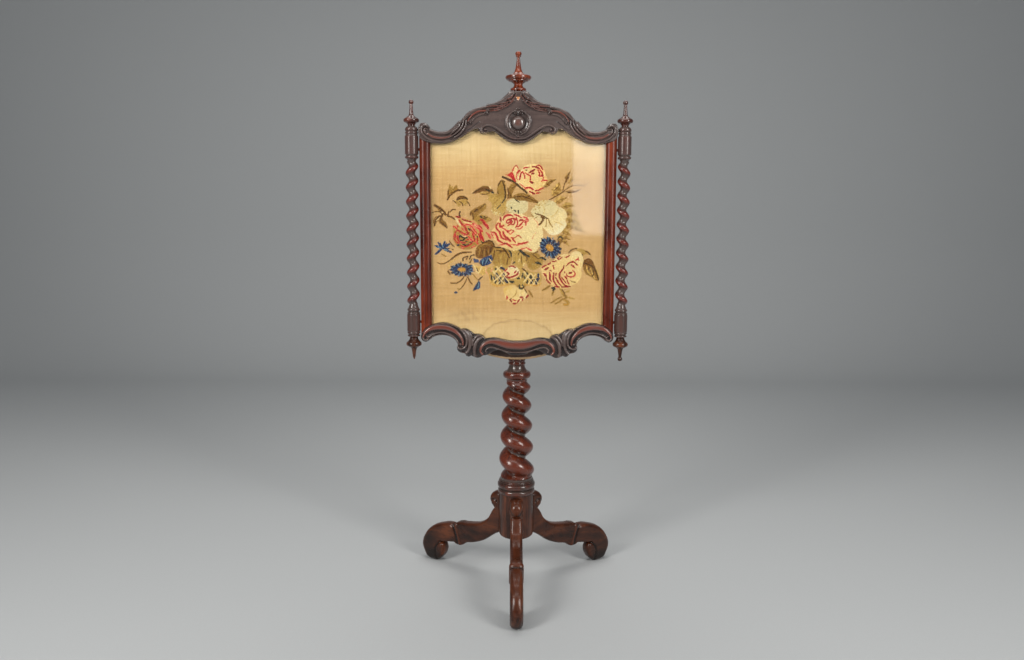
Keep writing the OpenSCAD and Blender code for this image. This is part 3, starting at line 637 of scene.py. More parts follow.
def crest_carving(r):
    """Rolls, leaves, volutes and the cartouche of the crest."""
    r.roll([13, 119, 22, 114, 33, 104, 46, 97.5, 62, 92.5, 77, 90], [5.5, 6, 5.5, 4.6, 3.8], 6, 0.62)
    for line in (
        [18, 120, 21, 114, 28, 107], [11.5, 119, 15.5, 111.5, 24, 103.5], [5, 117, 11, 106.5, 20, 98],
        [23, 107, 31, 103, 40, 100], [20, 101, 31, 96.5, 49, 93.5], [25, 94.5, 39, 90, 62, 87.5],
        [33, 89, 50, 83.5, 69, 80.5], [52, 90, 64, 88.5, 77, 86], [11, 102, 25, 90.5, 40, 82.5],
        [38, 82.5, 52, 78.5, 70, 76.5]
    ):
        r.roll(line, [1.6, 2.7, 1.4], 5.5, 0.9)
    r.volute([77, 72.5], 6, 6)
    r.roll([80, 86, 98, 82, 113, 75, 125, 66, 133, 57], [3.6, 4.4, 5.2, 5.6, 5], 6, 0.62)
    r.roll([80, 77.5, 97, 75.5, 109, 69, 117.5, 60.5, 122, 53], [2.8, 3.2, 3.2, 2.6, 2], 5.5, 1.0)
    r.roll([84, 70, 96, 67, 106, 60.5, 112, 53], [2.4, 2.8, 2.6, 2], 4, 0.7)
    r.volute([117.5, 49.5], 6, 5.5)
    for line in (
        [126.5, 54, 128, 41, 137, 28, 153, 16], [132, 56, 136, 41, 148, 27, 168, 12.5],
        [138, 54.5, 143, 42, 155, 29.5, 169, 18.5], [131, 36, 142, 22.5, 160, 10]
    ):
        r.roll(line, [2.6, 3.2, 2.8, 1.4], 6, 0.72)
    r.roll(
        [143, 49.5, 151, 42, 160, 33, 172, 26, 186, 24, 200, 25.5, 214, 31],
        [4.6, 5.2, 5.2, 5, 4.8, 4.6, 3.6], 6, 0.62
    )
    r.roll([163, 17.5, 176, 13.5, 192, 12.6, 208, 15.6, 219, 22], [3.4, 4.2, 4.4, 4.2, 3.4], 4.6, 0.9)
    r.roll(
        [166, 7.6, 182, 4.4, 200, 4.8, 216, 9, 228, 17, 235.5, 28, 233.5, 39, 225, 42.5, 218.5, 38],
        [2, 2.6, 2.8, 3, 3.4, 3.8, 3.6, 3.2, 2.4], 6, 0.7
    )
    r.roll([222, 20, 228, 28, 226.5, 34.5, 221, 34], [2.4, 3, 2.8, 2.2], 6, 0.75)
    r.roll(inset_line(CREST_RUNS[5], 2.6), 2.3, 3.2, 0.55)
    r.roll([0, 3.4, 13, 4.8, 25, 9, 37, 15.8, 48, 23.6, 57, 29.5], 3.2, 4, 0.4)
    r.roll(
        [0, 11, 16, 13.2, 30, 20.5, 43, 30, 55, 37.8, 66, 42.6, 77, 43.2, 86, 38.8, 89, 31.5, 84, 26, 77, 26,
         73.5, 30.5],
        [2.6, 2.8, 3, 3.4, 3.6, 3.8, 3.8, 3.6, 3.2, 2.8, 2.4, 2], 5.5, 0.72
    )
    r.dome([80, 33], 3.6, 5.5)
    r.groove([94, 52, 104, 45, 114, 37, 124, 31], 1.6, 0.8)
    r.roll(
        [8, 77.5, 18.5, 72, 26, 61.5, 27.6, 49, 24.5, 36.5, 16.5, 26.5, 7, 21.5],
        [2.4, 3.2, 3.8, 4, 3.8, 3.2, 2.4], 6.5, 0.68
    )
    r.volute([6, 72.5], 5.2, 6, hand=-1)
    r.volute([7, 26.5], 5.2, 6)
    r.dome([0, 83], 3, 5)
    r.dome([0, 17], 3.2, 5)
    middle = np.array([0, 49.5])
    hollow = np.hypot(*(r.at - middle).T)
    r.height -= 2.5 * np.clip(1 - (hollow / 23) ** 4, 0, 1)
    # Painted shade in the dished hollow round the boss.
    r.tone *= 1 - 0.6 * np.clip(1 - (hollow / 24) ** 6, 0, 1)
    r.dome(middle, 16.5, 9.0, 0.82)


def rail_carving(r):
    """Arches, bow, fluted leaves and volutes of the bottom rail."""
    r.roll(
        [-3, 45, 15, 45.5, 32, 48.5, 47, 52.5, 60, 54.5, 73, 53, 84, 47.5, 91, 38.5, 92, 29, 87, 22.5],
        [12, 12, 11.6, 10.6, 9.2, 7.2, 6, 5, 4.2, 3.2], 8, 1.0
    )
    r.roll(
        [-3, 27, 20, 28, 38, 32.4, 54, 38, 66, 40.4, 75, 37.5, 79.5, 31.5, 77.5, 27],
        [2.2, 2.4, 2.6, 2.8, 3, 3, 2.8, 2.2], 5.5, 0.6
    )
    r.roll([87, 66.5, 97, 60.5, 104.5, 49.5, 107.5, 36, 107, 24, 105, 17], [4, 5, 5.4, 5.4, 5, 4.5], 7, 0.55)
    r.roll([93, 70.5, 103, 66.5, 110.5, 56, 113.5, 44], [3, 3.8, 3.4, 2], 5.5, 0.5)
    r.roll([123, 80, 115.5, 68, 113.5, 52], [3, 3.6, 2.4], 5, 0.5)
    r.roll(
        [135, 84.5, 124.5, 73, 119.3, 58, 119.8, 42, 124, 30.5, 131, 24, 139, 25.5],
        [5, 5.4, 5.4, 5.2, 5, 4.6, 3.6], 7, 0.55
    )
    r.roll(
        [236, 66, 232.5, 75, 224, 83.5, 211, 89, 196, 91, 180, 90.2, 165, 85.6, 152, 77.6, 142.5, 67.5, 137, 56,
         136.5, 47],
        [3, 5, 6.6, 7.6, 8, 8, 7.6, 6.6, 5.2, 4.2, 3], 7.5, 1.0
    )
    r.roll(inset_line(RAIL_RUNS[3], 2.2), 2.2, 4.5, 0.45)
    r.roll(
        [146, 88, 135, 77.5, 128.5, 65, 127, 52, 130.5, 41.5, 139, 36, 147.5, 38.5, 151, 46],
        [2.4, 3, 3.4, 3.6, 3.6, 3.6, 3.2, 2.4], 6.5, 0.66
    )
    r.roll(
        [225, 64, 213, 72, 200, 76.3, 186, 77, 172, 73.6, 160, 67.2, 151.5, 58.6, 147, 50],
        [2.4, 2.7, 2.8, 2.8, 2.8, 2.6, 2.4, 2], 5.5, 0.62
    )
    r.roll(inset_line(RAIL_RUNS[5], 2.0), 1.9, 3.4, 0.5)
    r.dome([142.5, 47.5], 4, 6.5, 0.8)
    r.roll([237, 69, 236, 61.5, 230, 57.8, 224.8, 60.4, 224.4, 66, 229, 69], [3, 3.2, 3, 2.8, 2.4, 2], 6.5)


def rounding(rim, r):
    """How far a face falls at a distance rim from an edge that is rounded to radius r."""
    return r - np.sqrt(np.clip(r ** 2 - np.clip(r - rim, 0, None) ** 2, 0, None))


def insert_loop(grow=0.0):
    """Outline shared by glass, needlework and backboard."""
    side = INSERT_HALF + grow
    top = [[x, z + CREST_Z + grow] for x, z in [[0, 44], [122, 44], [146, 22], [170, 12]]]
    low = [[x, z + RAIL_Z - grow] for x, z in [[165, 82], [143, 72], [120, 46], [0, 40]]]
    return both_sides(np.array(top + [[side, top[-1][1]], [side, low[0][1]]] + low))


CARVE_STEP, CARVE_MARGIN, BACK_STEP = 1.2, 0.65, 3.0
RAIL_ROUND = 2.4
POCKET_ROOM = 0.3
CHIP_TONE, CHIP_DEPTH = 3.0, 0.8


def carved_rail(name, runs, datum, ground, carve, chips=()):
    """A rail with its carving in front and the rebate for the insert cut from its back. The ground is the tone
    of its plain field, where a low ground paints crevice shade, and chips are (place, radius) where the polish
    has come off."""
    edge = both_sides(run_edge(runs, CARVE_STEP))
    points, tris = triangles([edge], hex_grid(edge, CARVE_STEP, CARVE_MARGIN), lambda c: inside(c, edge))
    relief = Relief(points, ground)
    carve(relief)
    rim = nearest(points, closed(edge))[0]
    keep = np.clip(rim / RAIL_ROUND, 0, 1)
    front = RAIL_FRONT - relief.height * keep + rounding(rim, RAIL_ROUND)
    # Painted shade along the rounded rim.
    tone = relief.tone * (0.6 + 0.4 * keep)
    for place, r in chips:
        off = points - place
        chip = np.hypot(*off.T) < r * (1 + 0.25 * np.sin(3 * np.arctan2(off[:, 1], off[:, 0])))
        tone[chip] = CHIP_TONE
        front[chip] += CHIP_DEPTH
    shift = np.array([0, datum])
    plate = slab(points + shift, tris, front, REBATE_Y)
    outer = both_sides(run_edge(runs, BACK_STEP)) + shift
    pocket = insert_loop(POCKET_ROOM)
    ends = triangles([outer, pocket], None, lambda c: inside(c, outer) & ~inside(c, pocket))
    back = slab(*ends, REBATE_Y, FRAME_BACK)
    plate_tone = np.concatenate([tone, np.full(len(points), 0.3)])
    verts, faces, tone = merged((*plate, plate_tone), (*back, 0.4))
    add_piece(
        name + "_carved", verts, faces, "screen", CARVED_WOOD, [name], 50, {"tone": tone}
    )


# Legs

LEG_RUNS = [
    [42, 238, 54, 238.5, 67, 233, 75, 223, 76, 212, 72, 201, 62, 191],
    [65, 187, 71, 178, 84, 156, 113, 137, 153, 129, 171, 128, 185, 124, 192, 116.5],
    [198, 115.5, 204, 117.3, 225, 115, 263, 101, 291, 74, 302, 42, 291, 12, 281, 3, 270, 0],
    [254, 0, 243, 5, 232, 17, 225.5, 32, 226, 46, 231, 55, 237, 57],
    [222, 61, 205, 64.3, 191, 66],
    [186, 63, 178, 60.5, 170, 61.5, 161, 65.5, 150, 73, 124, 79.5, 93, 93, 62, 115.5, 42, 127],
]
LEG_ANGLES = {"leg_front": 270, "leg_left": 150, "leg_right": 30}
LEG_ROOT = math.sqrt(HUB_R ** 2 - LEG_T ** 2 / 4) + 0.2
LEG_NEAR, LEG_FAR = 42, 302


def leg_form():
    """One leg over the x axis: rounded edges, scrolls, cuff and creases on both sides."""
    edge = run_edge(LEG_RUNS, 1.8)
    points, tris = triangles([edge], hex_grid(edge, 1.9, 1.0), lambda c: inside(c, edge))
    rim = nearest(points, edge)[0]
    x, z = points.T
    foot = np.clip((x - 225) / 40, 0, 1)
    knob = np.clip((z - 186) / 12, 0, 1)
    thick = LEG_T / 2 - rounding(rim, 8 + 5 * np.maximum(foot, knob))
    r = Relief(points, 0.5)
    r.roll([186, 122, 180.5, 104, 174, 84, 168, 63], [5, 4.5, 4.5, 6], 2.2, 1.0)
    r.groove([195, 119, 188.5, 103, 182, 84, 178, 63], 4.6, 3.4)
    r.groove([236, 60, 248, 49, 254, 34, 252.5, 17, 246, 4], 3.6, 3.4)
    r.groove([50, 210, 54.5, 215.5, 61, 217.5, 67.5, 215, 71, 209, 71, 202], 2.6, 2.2)
    r.dome([60, 205.5], 9.5, 1.6, 0.6)
    keep = np.clip(rim / 3, 0.25, 1)
    thick = thick + (r.height - 0.4) * keep
    # Tone: painted shade in the grooves, wear with a painted highlight along the edges, and darker towards the
    # floor and on the foot's sides.
    painted_light_and_wear = np.clip(1 - rim / 10, 0, 1) * (r.height > -0.3)
    low = np.clip((45 - z) / 40, 0, 1)
    eye = foot * np.clip((rim - 6) / 6, 0, 1)
    tone = np.clip(r.tone + 0.35 * painted_light_and_wear, 0.02, 1) * (1 - 0.75 * low) - 0.25 * eye
    verts, faces = slab(points, tris, -thick, thick)
    verts[:, 0] = LEG_ROOT + (verts[:, 0] - LEG_NEAR) * (LEG_FAR - LEG_ROOT) / (LEG_FAR - LEG_NEAR)
    return verts, faces, np.tile(tone, 2)


def make_legs():
    """Three legs round the hub; the grain's place follows each leg."""
    verts, faces, tone = leg_form()
    for name, degrees in LEG_ANGLES.items():
        a = math.radians(degrees)
        turned = np.column_stack([
            verts[:, 0] * math.cos(a) - verts[:, 1] * math.sin(a),
            verts[:, 0] * math.sin(a) + verts[:, 1] * math.cos(a), verts[:, 2]
        ])
        local = (verts + [0, degrees, 0]) * MM
        add_piece(
            name + "_carved", turned, faces, "stand", LEG_WOOD, [name], 60,
            {"tone": tone, "local": local}
        )


# Twisted columns

def make_column():
    """Base rings, cap and swelling twist of the stand's column."""
    h = HUB_R
    base = [(0, 0), (h - 1, 0)] + bead(h + 0.5, 0.8, 12.6, 3) + [(h - 1.5, 14.4)]
    base += bead(h + 0.5, 16.2, 30, 4) + [(h - 1, 30.6)] + bead(h - 0.6, 31.4, 34.2, 1.8)
    base += [(h - 1.6, 34.6)] + bead(h - 2, 35.2, 38, 1.6) + [(h - 3.4, 39), (h - 3.5, 44), (0, 44)]
    cap = [(0, -62), (26, -62), (27.5, -60), (27, -57), (28.5, -54.5)] + bead(30, -53, -35.8, 6)
    cap += [tuple(p) for p in smooth([27.4, -35.2, 25, -32, 22, -26.5, 20.6, -22, 20.2, -18.5], 4)]
    cap += bead(20.5, -17.5, -11.5, 2) + [(20.3, -10)] + bead(20, -9, -1.5, 2.5) + [(18, 0), (0, 0)]
    low, high = HUB_TOP + 38, COLUMN_TOP - 58
    twist = barley(
        low, high - low, r=(48, 35.5), pitch=(65, 48), end_r=(h - 4, 25.5), groove=0.58, power=0.8, cove=0.2,
        fade=20, hand=-1, start=135, sides=128
    )
    # The neck under the cap's bead takes painted shade.
    neck = (COLUMN_TOP - 35, COLUMN_TOP - 18)
    verts, faces, tone = merged(
        lathe(lifted(base, HUB_TOP), tones=(0.0, 0.13)), lathe(lifted(cap, COLUMN_TOP), shaded_band=neck), twist
    )
    add_piece(
        "column_turned", verts, faces, "stand", TWIST_WOOD, ["column"], 50, {"tone": tone}
    )


def make_side_columns():
    """Two turned blocks with a twist between them, left and right in opposite hands."""
    b = BLOCK_R
    lower = [(0, 0), (9, 0), (13, 1)] + bead(b - 2.4, 1.2, 5, 1.6) + [(b - 3.4, 6.5)]
    lower += bead(b - 2, 8.4, 13, 1.8)
    lower += [(b - 1.6, 13.6), (b - 0.4, 14.4), (b, 15.4), (b, 16.2)]
    lower += [(b, 56.2), (b, 57), (b - 0.6, 57.8), (b - 2.4, 58.4)]
    lower += bead(b - 1.8, 58.8, 62.5, 1.4) + [(b - 3.4, 64)] + bead(b - 2.4, 66, 71.5, 1.6)
    lower += [(b - 3, 72.5), (12.5, 76), (10, 82), (0, 82)]
    upper = [(0, -84), (10, -84), (10.5, -82), (b - 3.5, -79)] + bead(b - 2, -78, -72, 2)
    upper += [(b - 2.6, -70.5), (b - 1, -68), (b, -67), (b, -66.2)]
    upper += [(b, -25.3), (b, -24.5), (b - 0.6, -23.7), (b - 2.2, -21.2)]
    upper += bead(b - 2, -18.8, -13.8, 1.2) + [(b - 3, -13)] + bead(b - 2.3, -12.3, -4.9, 1.5)
    upper += [(b - 2, -4.5), (12.5, -2), (9, 0), (0, 0)]
    low, high = DROP_SEAT + 79, FINIAL_SEAT - 81
    twist = barley(
        low, high - low, r=(15.9, 15.9), pitch=(35, 35), end_r=(10, 10), groove=0.5, power=2.4, cove=0.0,
        fade=8, hand=-1, start=120, sides=64
    )
    tones = (0.0, 0.46)
    form = merged(
        lathe(lifted(lower, DROP_SEAT), 64, tones), lathe(lifted(upper, FINIAL_SEAT), 64, tones), twist
    )
    for name, side in (("left_side_column", -1), ("right_side_column", 1)):
        verts, faces, tone = form
        if side < 0:
            verts = verts * (-1, 1, 1)
            faces = [face[::-1] for face in faces]
        verts = verts + [side * SIDE_X, SIDE_Y, 0]
        add_piece(
            name + "_turned", verts, faces, "screen", SIDE_WOOD, [name], 50, {"tone": tone}
        )


# Needlework, drawn from the middle of the panel; later strokes cover earlier ones

CRIMSON, RED, ROSE, PINK = (150, 16, 28), (202, 30, 38), (222, 74, 70), (234, 138, 116)
CREAM, PALE, WHITE = (238, 206, 136), (242, 218, 158), (243, 230, 188)
BUTTER, MIST = (228, 188, 104), (222, 207, 154)
NAVY, BLUE, SKY, TEAL = (16, 24, 52), (30, 68, 116), (108, 148, 162), (34, 46, 44)
BARK, BROWN, OLIVE = (70, 40, 10), (120, 76, 22), (148, 108, 40)
GOLD, STRAW, AMBER = (170, 132, 56), (196, 160, 82), (204, 144, 52)
REDS, PINKS, DEEP, BLUSH = (CRIMSON, RED, ROSE), (RED, ROSE, PINK), (CRIMSON, CRIMSON, RED), (PINK, CREAM)
DARK, WOOD, SOFT, TAN = (BARK, BARK, BROWN), (BARK, BROWN, OLIVE), (OLIVE, GOLD), (GOLD, STRAW)
NIGHT, GAP, CANE, BLUES = (TEAL, TEAL, BARK), (NAVY, NAVY, BLUE), (PALE, CREAM), (NAVY, BLUE, BLUE)
BROWN_LEAF, GOLD_LEAF = (BARK, BROWN, OLIVE, GOLD), (BROWN, OLIVE, GOLD, STRAW)
PALE_LEAF, SOFT_LEAF = (OLIVE, GOLD, STRAW, BUTTER), (OLIVE, GOLD, STRAW, STRAW)

# Filled shapes: colours from shade to light, direction of the light, outline
FOLIAGE = [
    ((OLIVE, GOLD, GOLD), (-0.3, 0.3), -50, 116, -52, 132, -47, 148, -39, 157, -32, 150, -29, 134, -27, 118,
     -32, 108, -42, 108),
    ((BROWN, OLIVE, GOLD), (-0.2, 0.4), -27, 112, -24, 128, -20, 142, -10, 150, -2, 146, -8, 134, -14, 122,
     -16, 110),
    ((BROWN, OLIVE, GOLD), (0, 0.3), -16, 112, -8, 120, 6, 124, 22, 122, 40, 112, 52, 100, 38, 101, 18, 104,
     0, 106),
    ((OLIVE, OLIVE, GOLD), (0.3, 0.2), -118, 70, -116, 80, -104, 88, -90, 95, -80, 98, -78, 88, -88, 78,
     -98, 70, -108, 62),
    ((OLIVE, GOLD, GOLD), (0.2, 0.3), -112, 58, -100, 68, -84, 70, -70, 64, -64, 58, -76, 52, -92, 46,
     -106, 48),
    ((BROWN, BROWN, OLIVE), (-0.2, 0.5), -114, 122, -102, 133, -84, 142, -71, 139, -60, 127, -72, 126, -84, 128,
     -98, 124),
    ((GOLD, STRAW), (0, 0.3), -98, 123, -86, 127, -70, 126, -62, 120, -58, 108, -66, 106, -76, 118, -88, 119),
    ((GOLD, GOLD, STRAW), (0.1, -0.4), -64, -12, -50, -8, -34, -10, -18, -16, -14, -30, -16, -46, -26, -58,
     -44, -62, -56, -56, -64, -42, -68, -26),
    ((GOLD, STRAW, STRAW), (0, -0.4), -14, -16, 2, -14, 16, -22, 22, -36, 20, -50, 12, -60, 0, -58, -10, -46,
     -14, -30),
    ((OLIVE, GOLD, STRAW), (0.1, -0.3), 14, -20, 30, -22, 46, -22, 60, -34, 64, -46, 56, -58, 42, -66, 28, -62,
     22, -46, 20, -34),
    ((BROWN, BROWN, OLIVE), (-0.3, 0.4), -106, -22, -101, -8, -88, 0, -72, 6, -59, -3, -63, -18, -73, -31,
     -91, -38, -104, -33),
    ((BROWN, BROWN, OLIVE, GOLD), (0, -0.4), 163, -51, 166, -41, 176, -36, 187, -41, 192, -52, 198, -66,
     204, -82, 204, -93, 196, -91, 186, -83, 172, -76, 165, -63),
    ((STRAW, BUTTER), (0.2, 0.3), -112, -52, -98, -56, -84, -58, -76, -64, -80, -76, -92, -78, -100, -74,
     -106, -64),
    (SOFT, (0, 0.4), -174, 107, -173, 128, -168, 143, -161, 134, -151, 143, -147, 134, -137, 131, -150, 128,
     -162, 120),
    (TAN, (0, 0.3), -152, 106, -140, 109, -126, 107, -118, 94, -124, 98, -131, 92, -138, 98, -146, 90, -152, 97,
     -160, 104),
    ((BROWN, OLIVE), (0.2, 0.3), -206, 94, -194, 90, -182, 82, -177, 71, -186, 72, -196, 80),
    ((BROWN, OLIVE), (0.4, 0.2), -207, 42, -210, 54, -203, 66, -190, 68, -196, 58, -202, 50),
    ((BROWN, OLIVE), (0.3, 0.2), -174, 38, -177, 50, -185, 58, -188, 70, -197, 56, -190, 46),
    ((OLIVE, GOLD), (0.2, -0.2), -2, -86, 10, -82, 22, -88, 22, -104, 14, -112, 2, -112, -4, -100),
    ((GOLD, STRAW), (0.2, 0.3), 146, -14, 158, -12, 172, -18, 182, -28, 168, -26, 160, -36, 154, -24),
]
# Canes of the basket: half-width, points; some are worked again, thinner, over the gaps
CANES = [
    (1.6, -40, -56, -60, -74), (1.6, -30, -66, -59, -96), (1.6, -27, -78, -50, -101),
    (1.6, -62, -68, -33, -101), (1.6, -52, -58, -19, -99), (1.5, -68, -78, -50, -101), (1.6, 20, -64, 8, -86),
    (1.6, 32, -74, 16, -96), (1.6, 46, -76, 26, -102), (1.6, 56, -80, 40, -102), (1.5, 18, -72, 42, -102),
    (1.5, 34, -74, 52, -100),
]
CANES_OVER, CANE_OVER = (1, 2, 3, 4, 8, 10, 11), 0.9
# Lines: colours from middle to edge, half-width, points
TWIGS = [
    # Upper right sprays
    (WOOD, 1.5, 78, 108, 95, 117, 108, 125, 114, 128), (WOOD, 1.2, 110, 126, 113, 140, 118, 155, 123, 167),
    (WOOD, 1.2, 112, 128, 125, 138, 140, 144, 155, 143, 166, 140), (WOOD, 0.9, 155, 142, 166, 145, 178, 152),
    # Upper left leaves
    (WOOD, 2.6, -174, 107, -168, 117, -157, 126, -148, 130, -137, 131), (SOFT, 2.0, -168, 128, -168, 143),
    (SOFT, 2.0, -160, 131, -152, 142), (WOOD, 2.0, -172, 118, -172, 129), (TAN, 1.6, -163, 133, -161, 141),
    (WOOD, 3.4, -150, 108, -144, 113, -134, 114, -125, 109), (DARK, 1.3, -151, 107, -138, 110, -126, 109),
    (TAN, 2.6, -151, 102, -146, 94), (TAN, 2.8, -136, 103, -126, 100),
    (WOOD, 1.4, -145, 103, -138, 99, -136, 92), (WOOD, 1.4, -127, 104, -121, 98, -119, 92),
    (WOOD, 1.4, -161, 105, -155, 102, -152, 97), (WOOD, 1.6, -167, 77, -162, 83, -154, 83),
    (WOOD, 2.2, -175, 67, -165, 65, -156, 59), (WOOD, 1.8, -171, 79, -173, 69),
    (DARK, 1.8, -143, 78, -145, 71, -142, 66), (WOOD, 4.0, -205, 93, -192, 85, -183, 77, -179, 71),
    (DARK, 1.6, -192, 80, -182, 72), (CANE, 1.2, -188, 77, -184, 73),
    (WOOD, 1.4, -213, 75, -204, 78, -196, 78, -187, 73), (WOOD, 3.2, -207, 43, -204, 54, -200, 62, -191, 67),
    (CANE, 1.1, -201, 56, -193, 64), (WOOD, 3.2, -176, 39, -185, 47, -192, 54, -189, 64, -186, 72),
    (DARK, 1.3, -178, 41, -188, 52), (WOOD, 1.3, -186, 73, -172, 70),
    # Leaves between the roses
    (DARK, 1.6, -112, 123, -98, 131, -84, 134, -70, 130), (WOOD, 1.6, -90, 121, -78, 121, -71, 125),
    (WOOD, 1.7, -106, 77, -97, 84, -86, 93, -81, 97), (DARK, 1.7, -107, 79, -101, 85),
    (WOOD, 1.8, -118, 69, -116, 77, -111, 69, -111, 59), (SOFT, 1.3, -104, 70, -94, 78, -84, 86),
    (NIGHT, 2.0, -93, 67, -88, 63), (NIGHT, 2.0, -83, 67, -79, 60), (WOOD, 1.6, -98, 56, -86, 60, -76, 64),
    (NIGHT, 1.9, -77, 132, -70, 129), (NIGHT, 2.0, -66, 127, -60, 124), (NIGHT, 1.8, -53, 120, -57, 113),
    (NIGHT, 1.7, -72, 110, -66, 115), (CANE, 1.3, -71, 140, -66, 134),
    (WOOD, 2.0, -49, 142, -42, 153, -33, 152), (DARK, 1.8, -38, 152, -34, 142, -32, 130, -31, 114),
    (WOOD, 1.7, -25, 136, -23, 120, -25, 110), (WOOD, 1.5, -20, 126, -17, 113),
    (WOOD, 1.5, -50, 128, -46, 116, -38, 110), (WOOD, 1.4, -4, 142, -14, 136),
    (DARK, 3.2, -38, 163, -30, 160, -20, 155, -8, 151, 2, 142, 12, 134, 22, 125),
    (WOOD, 1.8, 50, 100, 30, 110, 10, 116, -8, 114), (DARK, 1.3, 30, 118, 18, 112),
    # Lower left stems and curled leaves
    (WOOD, 1.6, -200, -48, -190, -52, -178, -48, -164, -38),
    (WOOD, 2.5, -166, -40, -150, -28, -135, -23, -116, -22),
    ((BUTTER, STRAW), 1.2, -173, -61, -169, -50, -160, -42, -143, -34),
    (DARK, 1.6, -136, -44, -135, -36, -124, -32), (WOOD, 1.6, -124, -34, -128, -40),
    (DARK, 1.6, -120, -40, -116, -31, -108, -29), (WOOD, 1.9, -119, -48, -114, -38),
    (WOOD, 1.7, -131, -78, -137, -88, -146, -96, -156, -100, -167, -99), (WOOD, 2.2, -174, -69, -169, -77),
    (WOOD, 1.4, -125, -83, -130, -96, -137, -107, -148, -118), (WOOD, 1.7, -124, -83, -120, -94, -113, -102),
    (SOFT, 1.6, -150, -113, -144, -116), (DARK, 1.8, -88, -83, -97, -91),
    (WOOD, 1.7, -170, 6, -164, -3, -158, -8), (WOOD, 1.4, -164, -15, -160, -16),
    (SOFT, 1.6, -189, -27, -178, -33), (DARK, 2.0, -104, -61, -99, -69),
    (CANE, 1.4, -110, -53, -105, -62, -99, -74, -91, -62, -89, -55),
    (SOFT, 1.4, -112, -76, -104, -86, -98, -92),
    # Brown leaf, and leaves under the middle rose
    (DARK, 1.8, -89, 1, -75, 6, -64, 5, -58, -5), (DARK, 1.6, -66, -10, -68, -22),
    (WOOD, 1.5, -77, -16, -77, -28), (WOOD, 1.5, -87, -18, -89, -31), (SOFT, 1.6, -98, -10, -82, -2, -68, -3),
    (SOFT, 1.5, -82, -14, -83, -32), (SOFT, 1.5, -72, -12, -72, -26), (SOFT, 1.6, -93, -14, -97, -32),
    (WOOD, 1.6, -57, -18, -61, -40), (WOOD, 1.5, -23, -34, -27, -54), (WOOD, 1.4, 9, -30, 11, -50),
    (TAN, 1.6, -42, -30, -41, -54), (DARK, 1.8, -62, -8, -48, -10, -38, -8), (WOOD, 1.5, 36, -26, 52, -38),
    (TAN, 1.5, -6, -26, -4, -44), (DARK, 2.6, -37, -9, -33, -16, -28, -20),
    (DARK, 1.6, -52, -17, -40, -19, -30, -19), (DARK, 1.7, -30, -20, -25, -26, -20, -36),
    (NIGHT, 2.2, -22, -17, -17, -23, -15, -32), (WOOD, 1.4, -46, -24, -38, -20),
    (SOFT, 1.3, -50, -28, -46, -48), (SOFT, 1.3, -36, -26, -34, -50),
    (NIGHT, 3.0, 3, -15, 10, -20, 20, -29, 29, -32), (DARK, 1.4, 1, -28, 5, -21),
    (WOOD, 1.4, 20, -29, 24, -36, 21, -44), (CANE, 1.6, 5, -38, 3, -46), (CANE, 1.6, 17, -49, 14, -55),
    (NIGHT, 2.0, -11, -49, -7, -46), (SOFT, 1.3, 34, -30, 44, -48), (SOFT, 1.3, 26, -40, 32, -56),
    (NIGHT, 2.6, 56, -36, 63, -36, 70, -40), (NIGHT, 2.8, 46, -48, 52, -48, 58, -51),
    (WOOD, 1.6, 40, -24, 50, -20),
    # Leaf and curls by the right rose
    (DARK, 1.9, 166, -48, 178, -52, 188, -58, 197, -72, 203, -90),
    ((STRAW, BUTTER), 1.5, 173, -56, 175, -67, 183, -78), ((STRAW, BUTTER), 1.5, 183, -61, 187, -74, 194, -86),
    ((STRAW, BUTTER), 1.1, 197, -60, 201, -72, 204, -82), (DARK, 1.5, 178, -57, 178, -65),
    (DARK, 1.4, 189, -66, 190, -76, 187, -81), (WOOD, 1.8, 128, -22, 133, -16, 140, -13, 148, -12),
    (DARK, 1.7, 150, -22, 156, -25, 161, -27, 162, -35), (WOOD, 2.0, 168, -18, 175, -21, 181, -27),
    # Sprays below the right rose
    (SOFT, 3.0, 64, -116, 72, -112, 81, -105), (NIGHT, 3.2, 87, -110, 92, -112, 90, -117),
    (SOFT, 2.6, 87, -129, 90, -119), (TAN, 3.6, 107, -112, 113, -121, 116, -130),
    (WOOD, 1.4, 112, -114, 118, -124, 120, -134), (SOFT, 3.2, 116, -128, 123, -133, 118, -138),
    (SOFT, 2.0, 84, -149, 99, -139, 112, -133), (SOFT, 2.2, 96, -151, 107, -144, 114, -138),
    ((AMBER, GOLD, GOLD), 3.6, 118, -141, 127, -146, 125, -152, 117, -152), (TAN, 2.2, 129, -134, 143, -138),
    (TAN, 2.0, 120, -122, 130, -118),
]
# Toothed leaves: base, tip, half-width, bow, colours
LEAVES = [
    ((66, 138), (94, 158), 6, 0.12, GOLD_LEAF), ((84, 118), (102, 152), 11, -0.1, PALE_LEAF),
    ((90, 98), (122, 113), 8, 0.1, PALE_LEAF), ((118, 150), (130, 178), 4.4, 0.1, BROWN_LEAF),
    ((124, 148), (136, 168), 3.6, -0.1, GOLD_LEAF), ((116, 127), (160, 135), 3.6, -0.06, BROWN_LEAF),
    ((108, 90), (144, 92), 8, 0.1, SOFT_LEAF), ((114, 80), (150, 66), 9, 0.1, SOFT_LEAF),
    ((118, 62), (158, 44), 9, 0.1, SOFT_LEAF), ((112, 46), (170, 26), 9, 0.1, SOFT_LEAF),
    ((104, 34), (134, 18), 7, 0.1, SOFT_LEAF), ((98, 18), (134, 8), 5, 0.1, GOLD_LEAF),
    ((100, 14), (128, -6), 5, 0.1, GOLD_LEAF), ((100, 14), (104, -8), 4.4, 0.1, BROWN_LEAF),
]
